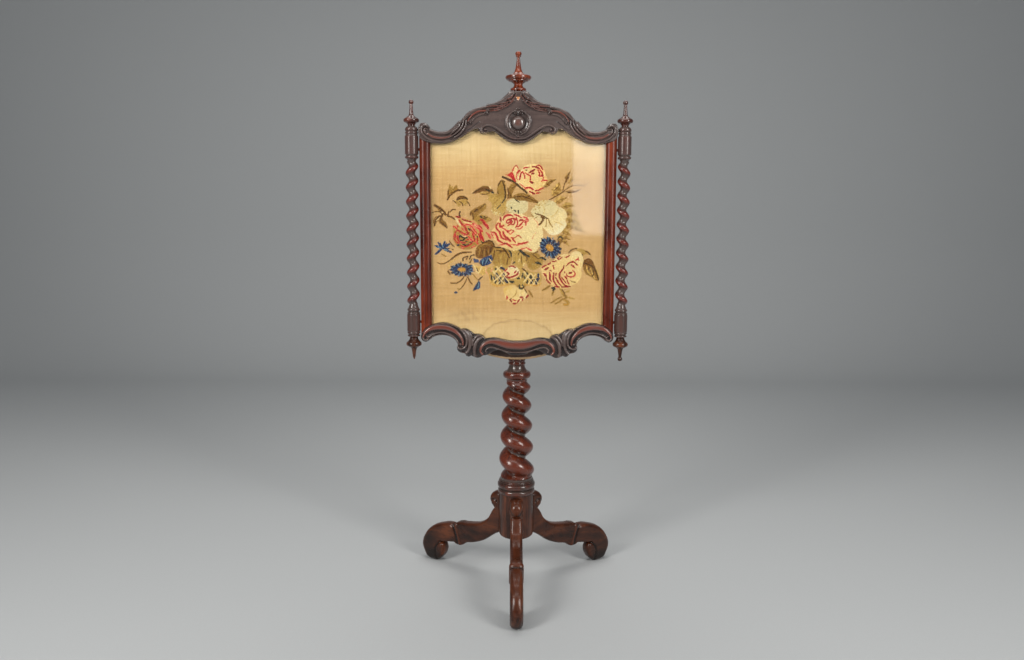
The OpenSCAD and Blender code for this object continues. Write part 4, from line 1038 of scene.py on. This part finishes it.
PETALS = [
    ((MIST, STRAW, GOLD), (0.2, 0.5), -76, 108, -60, 122, -44, 119, -32, 112, -26, 100, -30, 84, -40, 72,
     -55, 70, -66, 82, -64, 98),
    ((STRAW, MIST, MIST), (0.3, 0.2), -27, 104, -12, 110, 2, 106, 22, 104, 26, 92, 20, 78, 4, 72, -14, 74,
     -26, 82, -29, 94),
    ((STRAW, MIST, PALE, WHITE), (0.3, -0.6), 32, 80, 40, 92, 52, 103, 66, 107, 82, 106, 92, 101, 99, 92,
     110, 87, 119, 79, 122, 68, 118, 58, 121, 48, 114, 36, 104, 26, 90, 21, 78, 24, 70, 32, 60, 42, 48, 50,
     40, 62),
    ((CRIMSON, RED, RED), (0, 0.4), -31, 168, -22, 171, -14, 175, -9, 164, -4, 150, -12, 156, -20, 163),
    ((CREAM, PALE), (0.4, 0.2), -13, 176, -9, 187, -5, 191, 0, 184, 0, 168, -3, 154, -8, 164),
    ((BUTTER, CREAM, PALE), (-0.5, 0.3), -4, 150, 2, 170, 14, 188, 30, 194, 50, 193, 62, 184, 68, 168, 72, 156,
     64, 143, 50, 130, 36, 120, 20, 131, 6, 141),
    ((GOLD, GOLD, STRAW, PINK), (0.2, 0.5), -160, 40, -150, 46, -146, 62, -136, 63, -120, 59, -108, 57, -95, 46,
     -87, 38, -85, 20, -83, 6, -92, 0, -108, -10, -125, -15, -144, -12, -156, 0, -161, 16),
    ((CREAM, CREAM, PALE, PALE), (0.5, 0.3), -66, 30, -56, 42, -50, 58, -38, 68, -18, 74, 4, 74, 24, 66, 40, 64,
     53, 54, 61, 38, 63, 20, 58, 2, 52, -10, 40, -22, 25, -18, 8, -14, -10, -18, -24, -14, -42, -8, -54, 4,
     -64, 18),
    ((BUTTER, CREAM, CREAM, PALE), (0.3, 0.5), 58, -62, 72, -52, 86, -44, 98, -33, 114, -26, 130, -26, 142, -19,
     154, -20, 162, -30, 164, -44, 160, -60, 160, -80, 151, -96, 140, -102, 128, -110, 110, -112, 94, -108,
     80, -100, 69, -87, 61, -74),
    ((GOLD, STRAW, STRAW), (0.2, 0.3), -78, -62, -56, -56, -30, -56, 10, -60, 34, -70, 58, -74, 59, -94,
     42, -104, 16, -102, -20, -104, -52, -108, -68, -100, -72, -80),
    ((CREAM, PALE, WHITE), (0.3, 0.3), -33, -70, -24, -60, -12, -56, 0, -60, 6, -72, 0, -82, -14, -88,
     -28, -84),
    ((BUTTER, CREAM, PALE), (0.5, -0.3), -34, -112, -24, -106, -10, -104, 0, -110, 14, -112, 22, -120, 24, -134,
     12, -142, -5, -150, -22, -145, -31, -134, -34, -122),
    (BLUES, (0.3, 0.5), -97, -49, -91, -40, -78, -33, -64, -30, -64, -46, -73, -53, -88, -56),
    (BLUES, (0.3, 0.5), -110, -38, -98, -40, -97, -48, -108, -47),
    (BLUES, (0.4, 0.4), -97, -92, -105, -104, -112, -118, -104, -116, -94, -112, -93, -100),
]
THREADS = [
    # Upper rose
    (REDS, 1.4, -13, 176, -12, 182, -8, 188, -5, 191, -1, 187, 0, 183), (REDS, 2.4, -2, 173, 2, 178, 5, 178),
    (PINKS, 1.3, -3, 172, -4, 163, -1, 156), (REDS, 2.1, 12, 176, 8, 173, 6, 167, 5, 161, 3, 156),
    (REDS, 1.7, 11, 176, 14, 172, 16, 167, 17, 159), (REDS, 1.6, 13, 183, 17, 186, 22, 186, 27, 187),
    (WOOD, 1.6, 19, 179, 23, 180), (REDS, 1.6, 18, 173, 24, 169, 30, 166, 31, 159, 29, 153),
    (DEEP, 2.5, 31, 151, 37, 149), (DEEP, 2.6, 28, 174, 34, 177, 41, 181), (DEEP, 2.2, 34, 171, 39, 172),
    (DEEP, 2.2, 36, 188, 42, 188, 48, 186, 53, 182), (REDS, 1.9, 46, 190, 52, 191, 57, 187, 61, 180),
    (REDS, 2.0, 53, 182, 57, 177, 60, 171, 61, 165), (DEEP, 2.6, 59, 168, 61, 166),
    (REDS, 2.0, 49, 181, 51, 176, 53, 171, 52, 166, 58, 166), (PINKS, 1.5, 63, 164, 62, 158, 58, 152),
    (REDS, 1.5, 63, 155, 68, 155, 72, 155), (REDS, 2.3, 18, 135, 25, 138, 31, 137, 38, 132),
    (REDS, 2.0, 43, 130, 50, 131, 56, 134, 63, 137), (REDS, 2.0, 28, 128, 34, 125),
    (DEEP, 2.4, 34, 126, 41, 122), (PINKS, 1.4, 4, 147, 12, 141, 20, 135), (PINKS, 1.3, -18, 168, -13, 165),
    (REDS, 1.4, 45, 124, 56, 125),
    # Heart of the middle rose
    (REDS, 2.5, -36, 58, -33, 66, -27, 69, -20, 70, -12, 68), (REDS, 2.1, -10, 72, -3, 70, 3, 67, 8, 64),
    (REDS, 2.0, -29, 52, -26, 57, -20, 60, -13, 62, -6, 61), (DEEP, 2.2, -21, 58, -15, 57),
    (DEEP, 2.3, -10, 60, -6, 59), (REDS, 2.2, -27, 50, -21, 52, -15, 56),
    (REDS, 2.1, -24, 45, -18, 48, -13, 55), (REDS, 1.7, -16, 47, -10, 47, -8, 52, -7, 58),
    (REDS, 1.9, -6, 39, -2, 44, 0, 51, -2, 58, -4, 65), (REDS, 2.4, 0, 41, 5, 45, 9, 49, 12, 53),
    (DEEP, 2.3, 4, 56, 8, 59, 11, 57), (PINKS, 2.2, 14, 65, 20, 64, 24, 60, 26, 55),
    (REDS, 1.6, 16, 58, 19, 53, 20, 45), (PINKS, 1.5, 20, 60, 22, 52),
    (PINKS, 1.7, -4, 36, 4, 36, 9, 39, 13, 43), (PINKS, 1.4, 12, 60, 15, 53),
    # Its outer petals
    (DEEP, 2.7, -43, 64, -42, 55), (REDS, 3.0, -44, 50, -43, 42, -35, 44),
    (REDS, 2.3, -49, 50, -53, 44, -53, 38, -49, 33, -45, 29, -43, 22, -39, 14, -31, 10, -23, 10),
    (PINKS, 2.0, -39, 38, -33, 36, -28, 32, -22, 31, -16, 34), (DEEP, 2.3, -27, 30, -23, 29),
    (PINKS, 1.5, -24, 28, -18, 23, -13, 28, -9, 31, -14, 33),
    (REDS, 3.2, -36, 29, -35, 23, -31, 17, -26, 13, -18, 6), (DEEP, 2.8, -26, 14, -22, 10),
    (REDS, 2.5, -66, 28, -60, 28, -55, 24, -51, 17, -49, 9, -42, 4, -35, 0),
    (REDS, 2.4, -38, 1, -28, 0, -22, -4, -14, -10), (DEEP, 2.0, -33, 0, -27, 0),
    ((PINK, PALE), 1.8, -66, 26, -59, 20), (PINKS, 1.5, -47, -4, -38, -3, -32, -2),
    (REDS, 2.1, -16, 14, -10, 13), (REDS, 1.4, -10, 13, -5, 16, 1, 20, 6, 17, 9, 13),
    (REDS, 2.2, -13, 12, -10, 8, -5, 4), (PINKS, 1.7, -16, -2, -8, -3, 0, -4, 6, -2),
    (REDS, 2.5, 1, 0, 8, 0, 16, 1, 25, 4), (PINKS, 1.7, 8, -14, 15, -12, 22, -10),
    (PINKS, 2.2, 25, -12, 30, -15, 35, -17), (BLUSH, 1.1, 46, 28, 40, 20, 36, 11),
    (REDS, 1.9, -78, 26, -73, 21, -70, 13), (BLUSH, 1.1, 40, 62, 50, 49, 48, 38),
    # Left rose
    ((MIST, PALE), 2.1, -153, 61, -148, 52, -142, 43),
    (REDS, 2.6, -145, 57, -139, 48, -131, 41, -128, 33, -123, 24), (DEEP, 1.6, -139, 60, -128, 56, -115, 53),
    ((PALE, CREAM), 1.4, -136, 53, -121, 50, -114, 49),
    (PINKS, 2.5, -130, 46, -121, 46, -113, 40, -108, 33, -102, 25),
    (PINKS, 3.6, -111, 48, -101, 41, -94, 34, -92, 26), ((PALE, PINK), 1.4, -108, 46, -100, 40),
    (REDS, 3.0, -93, 28, -91, 20, -88, 13, -85, 6), (REDS, 1.4, -98, 46, -90, 38, -88, 28),
    (PINKS, 2.3, -160, 42, -154, 39, -149, 33), (REDS, 2.5, -150, 33, -143, 29, -135, 24, -126, 22, -121, 26),
    (REDS, 1.7, -152, 31, -157, 22, -158, 13, -153, 4, -146, 0), (REDS, 2.1, -149, 19, -149, 10, -144, 3),
    ((PINK, PALE), 1.5, -139, 19, -127, 17), (NIGHT, 2.0, -146, 13, -144, 19, -139, 16, -133, 13, -126, 14),
    (NIGHT, 1.7, -143, 8, -138, 7, -132, 11), (NIGHT, 1.8, -137, -1, -130, -5, -122, -3),
    (NIGHT, 1.4, -134, 2, -126, 5), (REDS, 1.7, -144, 5, -136, 1, -129, 3),
    (PINKS, 2.8, -122, 17, -116, 9, -111, 5), (REDS, 2.3, -113, 24, -109, 15, -107, 6),
    (NIGHT, 1.5, -101, 19, -100, 13), (REDS, 1.7, -100, 13, -100, 5), (NIGHT, 1.5, -119, 1, -112, 4),
    (NIGHT, 1.7, -123, 37, -116, 31), (REDS, 1.8, -142, -6, -134, -8, -125, -7, -118, -3, -113, 1),
    (PINKS, 1.6, -140, -11, -134, -14), (PINKS, 2.2, -139, 38, -134, 32),
    (REDS, 1.8, -119, 38, -112, 29, -104, 20), (REDS, 1.8, -155, 24, -154, 14), (REDS, 1.6, -130, 8, -122, 9),
    (REDS, 2.0, -97, 24, -94, 15, -92, 8), (PINKS, 1.8, -104, 4, -98, -2), (PINKS, 1.6, -116, -11, -106, -6),
    (DEEP, 2.2, -153, 66, -143, 64), (REDS, 1.8, -151, 43, -148, 42),
    (REDS, 3.6, -91, 58, -86, 55, -82, 48, -76, 43, -73, 37), (PINKS, 1.7, -77, 27, -70, 20, -67, 12),
    (PINKS, 1.4, -66, 27, -60, 13), (NIGHT, 1.6, -90, 4, -87, 2),
    # Right rose
    (DEEP, 1.7, 61, -61, 66, -56, 72, -54), (DEEP, 2.4, 75, -52, 83, -48),
    (DEEP, 1.7, 86, -43, 90, -45, 97, -42), (DEEP, 1.8, 99, -35, 103, -40), (DEEP, 1.5, 102, -34, 107, -31),
    (DEEP, 1.5, 104, -39, 112, -33), (DEEP, 1.7, 118, -33, 124, -33, 130, -28), (DEEP, 2.4, 68, -65, 77, -60),
    (DEEP, 2.0, 81, -66, 84, -68), (DEEP, 1.5, 89, -53, 90, -59, 92, -64),
    (DEEP, 2.8, 66, -75, 70, -78, 72, -83), (DEEP, 1.8, 72, -84, 74, -91, 78, -96, 83, -100),
    (DEEP, 2.6, 80, -72, 81, -80, 81, -90), (DEEP, 1.6, 81, -88, 85, -94),
    (DEEP, 2.1, 91, -73, 90, -80, 90, -88, 92, -95, 99, -105), (DEEP, 1.8, 97, -73, 96, -79),
    (DEEP, 1.9, 95, -84, 99, -90, 102, -96, 110, -106),
    (DEEP, 2.1, 116, -55, 114, -62, 109, -69, 105, -77, 106, -85, 110, -93, 116, -101, 123, -105, 133, -106),
    (DEEP, 2.0, 94, -106, 105, -108), (DEEP, 1.5, 110, -108, 122, -108, 133, -107),
    (DEEP, 1.6, 117, -69, 118, -73), (DEEP, 2.4, 119, -82, 124, -88),
    (DEEP, 1.5, 124, -89, 126, -96, 130, -101), (DEEP, 1.5, 111, -84, 116, -91, 122, -99),
    (REDS, 1.7, 123, -74, 123, -79, 128, -82, 135, -83, 141, -81, 144, -76, 142, -70, 138, -67),
    (DEEP, 2.4, 129, -73, 136, -72), (DEEP, 1.9, 122, -55, 128, -49, 133, -46, 139, -45, 145, -48, 149, -53),
    (DEEP, 1.9, 133, -52, 138, -55, 143, -60), (REDS, 1.9, 145, -41, 150, -39, 154, -41),
    (REDS, 1.5, 150, -40, 152, -34), (WOOD, 1.2, 133, -92, 138, -95, 146, -96),
    # Basket: canes, gaps, canes over the gaps and rim
    *[(CANE, *cane) for cane in CANES],
    (NIGHT, 3.0, -66, -80, -64, -91), (GAP, 3.2, -53, -75, -49, -85), (GAP, 3.2, -42, -60, -33, -64),
    (GAP, 3.4, -36, -74, -33, -82), (GAP, 3.6, -42, -86, -45, -98), (GAP, 3.8, -31, -85, -26, -97),
    (NIGHT, 2.2, -36, -93, -37, -99), (NIGHT, 3.0, -19, -95, -9, -96), (NIGHT, 2.4, 0, -87, 5, -87),
    (NIGHT, 3.6, 33, -81, 33, -88), (GAP, 3.4, 37, -91, 34, -98), (BLUES, 3.0, 52, -76, 52, -83),
    (GAP, 3.4, 53, -86, 48, -93, 47, -100), (NIGHT, 2.2, 24, -71, 24, -79), (WOOD, 2.4, 12, -62, 20, -68),
    (NIGHT, 2.1, 14, -74, 12, -84), (NIGHT, 2.0, 25, -92, 24, -99), (NIGHT, 2.0, -56, -62, -53, -65),
    (NIGHT, 2.0, -54, -92, -55, -99), (GAP, 2.0, -59, -84, -57, -89), (NIGHT, 2.0, 42, -84, 43, -90),
    (NIGHT, 1.8, 17, -82, 19, -88),
    *[(CANE, CANE_OVER, *CANES[k][1:]) for k in CANES_OVER],
    ((AMBER, BUTTER), 2.2, -66, -100, -50, -106, -36, -104, -20, -103),
    ((AMBER, BUTTER), 2.0, 18, -102, 36, -104, 52, -104, 59, -98),
    ((AMBER, BUTTER), 1.6, -71, -74, -69, -88, -66, -100), (BLUSH, 1.5, -77, -61, -80, -68, -74, -77),
    (BLUSH, 1.5, -63, -60, -66, -70),
    # Rosebud and carnation
    (DEEP, 1.7, -21, -58, -13, -56, -5, -60), (REDS, 1.8, -32, -69, -25, -63),
    (DEEP, 2.1, -28, -71, -22, -75, -26, -80),
    (DEEP, 2.2, -30, -82, -22, -85, -14, -83, -6, -80, 1, -75, 2, -70), (REDS, 2.0, -8, -73, -3, -68),
    (NIGHT, 1.8, 6, -103, 4, -110, 10, -113, 15, -109, 12, -103), ((MIST,), 1.3, 9, -107, 12, -107),
    (WOOD, 1.4, 16, -110, 20, -116, 23, -123), (SOFT, 2.5, 29, -118, 34, -126, 38, -133),
    (TAN, 1.2, -2, -116, -5, -128, -12, -134), (REDS, 2.3, -26, -132, -26, -139),
    (DEEP, 2.2, -19, -140, -14, -146), (REDS, 1.8, -11, -141, -4, -143), (DEEP, 2.7, -10, -150, -4, -150),
    (DEEP, 2.0, 0, -148, 5, -140), (DEEP, 2.3, 7, -134, 13, -134), (DEEP, 1.7, 15, -136, 12, -143),
    (DEEP, 2.1, 21, -136, 28, -129), (WOOD, 1.2, -15, -136, -17, -141),
    # Convolvulus throat, and marks on the pale flower
    (WOOD, 1.8, 43, 74, 58, 70, 74, 62), (WOOD, 2.4, 59, 69, 62, 58, 53, 46),
    (SOFT, 1.4, 71, 62, 71, 51, 70, 42), (SOFT, 1.6, 76, 61, 80, 50, 86, 41), (SOFT, 1.2, 33, 71, 41, 66),
    (SOFT, 1.2, 42, 62, 48, 66), (WOOD, 2.4, 58, 66, 66, 62), ((STRAW, CREAM), 1.0, 60, 96, 66, 84, 64, 74),
    ((STRAW, CREAM), 1.0, 100, 84, 92, 72, 82, 66), ((STRAW, CREAM), 1.0, 112, 46, 100, 52, 90, 54),
    ((STRAW, CREAM), 1.0, 90, 28, 86, 36), (NIGHT, 1.6, -31, 113, -35, 105, -39, 100),
    (NIGHT, 1.5, -43, 95, -51, 86), (SOFT, 1.5, -32, 77, -38, 68), (NIGHT, 1.5, -16, 90, -15, 86),
    (NIGHT, 1.8, -9, 82, -5, 79), (NIGHT, 1.7, 1, 82, 2, 74), (NIGHT, 1.2, -8, 109, 0, 104, 4, 101),
    (SOFT, 1.1, -62, 84, -60, 98, -50, 106), (NIGHT, 1.8, 100, 12, 106, 18, 112, 11),
    (WOOD, 1.6, 90, 131, 98, 139),
    # Blue buds and the half-open cornflower
    (BLUES, 2.8, -188, -13, -205, -6), (BLUES, 2.8, -188, -12, -197, 1), (BLUES, 3.0, -186, -11, -181, 3),
    (BLUES, 3.0, -184, -12, -170, -2), (BLUES, 3.0, -184, -14, -166, -22), (BLUES, 3.0, -190, -15, -204, -27),
    (GAP, 1.2, -188, -9, -193, 1), (GAP, 1.2, -183, -10, -176, 1), ((SKY,), 1.0, -186, -9, -188, -2),
    ((SKY,), 1.0, -184, -15, -173, -19), ((SKY,), 1.0, -190, -12, -200, -8), (GAP, 1.4, -184, -13, -168, -13),
    (GAP, 2.2, -150, -5, -146, -4), (BLUES, 3.4, -156, -123, -153, -123), ((SKY,), 1.0, -88, -52, -86, -40),
    ((SKY,), 1.0, -80, -50, -74, -36), (GAP, 1.3, -86, -54, -78, -40), (GAP, 1.3, -78, -52, -66, -34),
    (GAP, 1.3, -94, -48, -88, -54), (CANE, 1.1, -70, -38, -65, -46), (GAP, 1.3, -97, -94, -106, -115),
    ((SKY,), 1.0, -97, -98, -99, -112),
]
# Centre, radii, turn, rays, gold heart as a share of the radii
CORNFLOWERS = [
    ((80, -10), (30, 24), -38, 14, (0.34, 0.34)), ((-139, -65), (31, 17), 0, 13, (0.34, 0.3)),
]
STITCH, STITCH_RISE = 1.72, 0.24
THREAD_SHADE = 0.6
POSY_HALF = (218.0, 200.0)
PANEL_MIDDLE = 300
MIDDLE_Z = RAIL_Z + PANEL_MIDDLE
CLOTH_TOP = CLOTH_FRONT + 0.65


class Embroidery:
    """Thread colours on an even grid of the panel."""

    def __init__(self, at):
        self.at = at
        self.rgb = np.zeros((len(at), 3))
        self.worked = np.zeros(len(at), bool)

    def lay(self, index, colours, shade):
        """Colours chosen along a row by a shade from 0 to 1."""
        row = np.array(colours, float)
        k = np.clip(shade, 0, 1) * (len(row) - 1) + CHANCE.normal(0, 0.24, len(index))
        self.rgb[index] = row[np.clip(np.round(k), 0, len(row) - 1).astype(int)]
        self.worked[index] = True

    def line(self, colours, half, *points):
        """A worked line that thins towards its ends."""
        index, d, share, _ = near(self.at, spaced(smooth(points), 2), half * 1.1)
        keep = d < half * (0.75 + 0.35 * np.sin(math.pi * share))
        self.lay(index[keep], colours, d[keep] / half)

    def petal(self, colours, light, *outline):
        """A filled outline, paler towards the light."""
        loop = smooth(outline + outline[:2], 6)
        low, high = loop.min(0), loop.max(0)
        index = np.flatnonzero(((self.at >= low) & (self.at <= high)).all(1))
        index = index[inside(self.at[index], loop)]
        off = (self.at[index] - (low + high) / 2) / (high - low) * 2
        self.lay(index, colours, 0.55 + 0.6 * off @ np.array(light))

    def leaf(self, base, tip, width, bow, colours):
        """A toothed leaf with a dark rib and slanting side veins."""
        base, tip = np.array(base, float), np.array(tip, float)
        way = tip - base
        middle = (base + tip) / 2 + bow * np.array([-way[1], way[0]])
        index, d, share, side = near(self.at, spaced(smooth([base, middle, tip]), 2), width)
        length = np.hypot(*way)
        teeth = 1 + 0.18 * np.sin(share * length * 0.7)
        span = width * np.sin(math.pi * np.clip(share, 0, 1) ** 0.75) * teeth
        keep = (d < span) & (share > 0.001) & (share < 0.999)
        index, d, share, side, span = index[keep], d[keep], share[keep], side[keep], span[keep]
        k = d / span
        veins = 0.5 + 0.5 * np.sin(share * length * 0.55 - 2.6 * k)
        shade = 0.25 + 0.55 * veins + 0.22 * side - 0.25 * (k > 0.8)
        self.lay(index, colours, np.where((d < 1.0) & (width > 5), 0.0, shade))

    def cornflower(self, centre, radii, turn, rays, heart):
        """Ragged blue rays, dark beside pale, round a gold heart."""
        c, s = math.cos(math.radians(turn)), math.sin(math.radians(turn))
        turned = np.array([[c, s], [-s, c]])

        def place(degrees, reach):
            a = math.radians(degrees)
            return np.array([radii[0] * math.cos(a), radii[1] * math.sin(a)]) * reach @ turned + centre

        step = 360 / rays
        strands = (-0.42, NAVY, NAVY), (0.42, BLUE, NAVY), (0.16, SKY, BLUE), (-0.16, BLUE, NAVY)
        for k in range(rays):
            middle = k * step
            for lean, *colours in strands:
                reach = CHANCE.uniform(0.78, 1.08)
                self.line(colours, 1.4, *place(middle, 0.3), *place(middle + lean * step, reach))
        off = (self.at - centre) @ turned.T / radii
        core = np.hypot(*(off / heart).T)
        index = np.flatnonzero(core < 1)
        self.lay(index, (BUTTER, AMBER, AMBER, GOLD), core[index])


def draw_posy(e):
    """Mixed posy of roses, convolvulus and cornflowers with olive leaves over a trellis basket."""
    for fill in FOLIAGE:
        e.petal(*fill)
    for leaf in LEAVES:
        e.leaf(*leaf)
    for twig in TWIGS:
        e.line(*twig)
    for petal in PETALS:
        e.petal(*petal)
    for thread in THREADS:
        e.line(*thread)
    for flower in CORNFLOWERS:
        e.cornflower(*flower)


def ground_shades(x, z):
    """Stain, painted shade and paleness of the cloth at places above the bottom rail's foot."""
    # A faint darker arc over the bow.
    arc_reach = np.hypot(x / 90, (z - 58) / 50) + 0.02 * np.sin(x / 7) + 0.015 * np.sin(x / 2.9)
    ring = 0.4 * np.exp(-((arc_reach - 1) / 0.035) ** 2) * (z > 66) + 0.08 * (arc_reach < 1)
    # Painted shade of the stiles along both sides.
    sides = 0.35 * np.clip((np.abs(x) - 196) / 20, 0, 1)
    mottle = 0.5 + 0.5 * np.sin(x / 6.1 + np.sin(z / 7)) * np.sin(z / 4.3 + x / 9)
    patch = 0.55 * mottle * np.exp(-((x + 126) / 40) ** 2 - ((z - 118) / 17) ** 2)
    ends = np.maximum(np.clip((150 - z) / 70, 0, 1), np.clip((z - 470) / 60, 0, 1))
    faded = np.exp(-((x + 6) / 34) ** 2) * (z > 400)
    pale = np.clip(ends * (0.75 + 0.12 * np.sin(x / 31) + 0.5 * faded), 0, 1)
    return ring + sides + patch, pale


def make_ground(loop):
    """Cloth stretched over the backboard."""
    dense = np.vstack([spaced([a, b], 4)[:-1] for a, b in zip(loop, np.roll(loop, -1, axis=0))])
    points, tris = triangles([dense], hex_grid(dense, 4, 2), lambda c: inside(c, dense))
    verts, faces = slab(points, tris, CLOTH_TOP, CLOTH_BACK)
    stain_and_shade, pale = ground_shades(points[:, 0], points[:, 1] - RAIL_Z)
    return add_piece(
        "needlework_ground", verts, faces, "screen", canvas(), ["needlework"], 60,
        {"stain_and_shade": np.tile(stain_and_shade, 2), "pale": np.tile(pale, 2)}
    )


def make_stitches():
    """Raised stitches of the posy, each a small prism in its own colour."""
    columns, rows = [np.arange(-half, half, STITCH) for half in POSY_HALF]
    grid = np.stack(np.meshgrid(columns, rows), -1).reshape(-1, 2)
    work = Embroidery(grid)
    draw_posy(work)
    at = grid[work.worked] + [0, MIDDLE_Z]
    rgb = work.rgb[work.worked] * CHANCE.normal(1, 0.05, (len(at), 1))
    half = STITCH * 0.49
    ridge = 0.6 * half
    corners = np.array([
        [-half, 0, -half], [half, 0, -half], [half, 0, half], [-half, 0, half],
        [-ridge, -STITCH_RISE, -ridge], [ridge, -STITCH_RISE, ridge]
    ])
    feet = np.column_stack([at[:, 0], np.full(len(at), CLOTH_TOP - 0.02), at[:, 1]])
    verts = (feet[:, None, :] + corners).reshape(-1, 3)
    prism = [[0, 1, 5, 4], [2, 3, 4, 5], [1, 2, 5], [3, 0, 4], [3, 2, 1, 0]]
    faces = [[6 * k + i for i in face] for k in range(len(at)) for face in prism]
    stitches = add_piece("needlework_stitches", verts, faces, "screen", wool(), (), 100)
    colour = stitches.data.color_attributes.new("thread", "FLOAT_COLOR", "POINT")
    linear = np.array([srgb(*np.clip(c, 0, 255)) for c in rgb], np.float32)
    linear = linear * (THREAD_SHADE, THREAD_SHADE, THREAD_SHADE, 1)
    colour.data.foreach_set("color", np.repeat(linear, 6, axis=0).ravel())
    return stitches


def make_needlework():
    """Ground cloth and stitches."""
    loop = insert_loop()
    cloth = make_ground(loop)
    stitches = make_stitches()


# Room, light and camera

def make_room():
    """Pale floor that sweeps up into a backdrop."""
    s = Shader("studio paper")
    grain = s.noise(s.object_place(), 300.0, 2.0)
    s.set(Base_Color=s.ramp(grain, [(0.3, (0.46, 0.48, 0.49, 1)), (0.7, (0.48, 0.5, 0.51, 1))]), Roughness=0.9)
    half, back, top, bend_r, under = 6000.0, 3500.0, 5000.0, 900.0, 0.5
    bend = np.radians(np.linspace(0, 90, 13))
    profile = [(-half, -under)]
    profile += [(back - bend_r + bend_r * math.sin(t), bend_r - under - bend_r * math.cos(t)) for t in bend]
    profile += [(back, top)]
    verts = [[x, y, z] for y, z in profile for x in (-half, half)]
    faces = [[2 * k, 2 * k + 1, 2 * k + 3, 2 * k + 2] for k in range(len(profile) - 1)]
    mesh = bpy.data.meshes.new("studio_floor")
    mesh.from_pydata((np.array(verts) * MM).tolist(), [], faces)
    mesh.polygons.foreach_set("use_smooth", [True] * len(faces))
    mesh.materials.append(s.material)
    floor = bpy.data.objects.new("studio_floor", mesh)
    bpy.context.scene.collection.objects.link(floor)


def add_light(name, place, target, size, power, colour=(1, 0.97, 0.93)):
    """A rectangular area light; place, target and size are in metres, power in watts."""
    light = bpy.data.lights.new(name, "AREA")
    light.shape = "RECTANGLE"
    light.size, light.size_y = size
    light.energy = power
    light.color = colour
    lamp = bpy.data.objects.new(name, light)
    lamp.location = place
    lamp.rotation_euler = (Vector(target) - Vector(place)).to_track_quat("-Z", "Y").to_euler()
    bpy.context.scene.collection.objects.link(lamp)


def make_light():
    """Softboxes and strips of the studio, a small window for the glass, and a dim sky."""
    add_light("left softbox", (-2.1, -2.3, 2.2), (0, 0, 0.75), (0.9, 1.2), 57)
    add_light("right softbox", (2.1, -2.3, 2.1), (0, 0, 0.75), (0.9, 1.2), 47)
    add_light("left strip", (-2.2, -2.1, 1.15), (0, 0, 1.15), (0.3, 1.1), 11)
    add_light("right strip", (2.2, -2.1, 1.15), (0, 0, 1.15), (0.3, 1.1), 11)
    add_light("top softbox", (0, 0.6, 3.2), (0, 0, 0.6), (2.4, 1.6), 32)
    add_light("front strip", (0, -1.5, 2.9), (0, 0, 0.9), (2.4, 0.5), 10)
    add_light("window", (0.475, -3.0, 1.155), (0.475, 0, 1.155), (0.25, 0.63), 1.2, (1.0, 1.0, 1.0))
    world = bpy.data.worlds.new("studio")
    world.use_nodes = True
    world.node_tree.nodes["Background"].inputs["Color"].default_value = (0.92, 0.95, 1.0, 1)
    world.node_tree.nodes["Background"].inputs["Strength"].default_value = 0.16
    bpy.context.scene.world = world


def make_camera():
    """The photograph's place: a little left of the middle, looking slightly down."""
    camera = bpy.data.cameras.new("camera")
    camera.sensor_fit = "HORIZONTAL"
    focal_px, frame_px = 830, 1024
    camera.sensor_width = 36
    camera.lens = camera.sensor_width * focal_px / frame_px
    camera.shift_x, camera.shift_y = 0.0013, -0.0008
    eye = bpy.data.objects.new("camera", camera)
    eye.location = (-0.0165, -2.12, 0.98)
    down, lean = 8.1, 0.23
    tilt = Matrix.Rotation(math.radians(90 - down), 3, "X")
    roll = Matrix.Rotation(math.radians(lean), 3, "Z")
    eye.rotation_euler = (tilt @ roll).to_euler()
    bpy.context.scene.collection.objects.link(eye)
    bpy.context.scene.camera = eye


def dress_nodes():
    """Materials of the CAD nodes that stay in view."""
    looks = [
        (RED_WOOD, ["pole", "left_stile", "right_stile", "back_beads", "side_dowels"]),
        (FINIAL_WOOD, ["pole_finial"]),
        (SPIRE_WOOD, ["left_top_finial", "right_top_finial"]),
        (HUB_WOOD, ["hub", "left_drop", "right_drop"]),
        (BOARD_WOOD, ["backboard"]),
        (cleat_wood(), ["mounting_cleat"]),
        (brass(), ["upper_bracket", "lower_bracket", "bracket_screws", "cleat_screws", "thumbscrew"]),
        (sheet_glass(), ["glass"]),
    ]
    for material, names in looks:
        for name in names:
            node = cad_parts[name]
            node.data.materials.clear()
            node.data.materials.append(material)
    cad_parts["glass"].visible_shadow = False


make_camera()
make_room()
make_light()
dress_nodes()
make_column()
make_side_columns()
make_legs()
carved_rail("crest_rail", CREST_RUNS, CREST_Z, ground=0.5, carve=crest_carving, chips=[((-1, 108), 4.0)])
# The bottom rail's low ground paints crevice shade over its plain field.
carved_rail("bottom_rail", RAIL_RUNS, RAIL_Z, ground=0.1, carve=rail_carving)
make_needlework()
bpy.context.scene.view_settings.view_transform = "Standard"
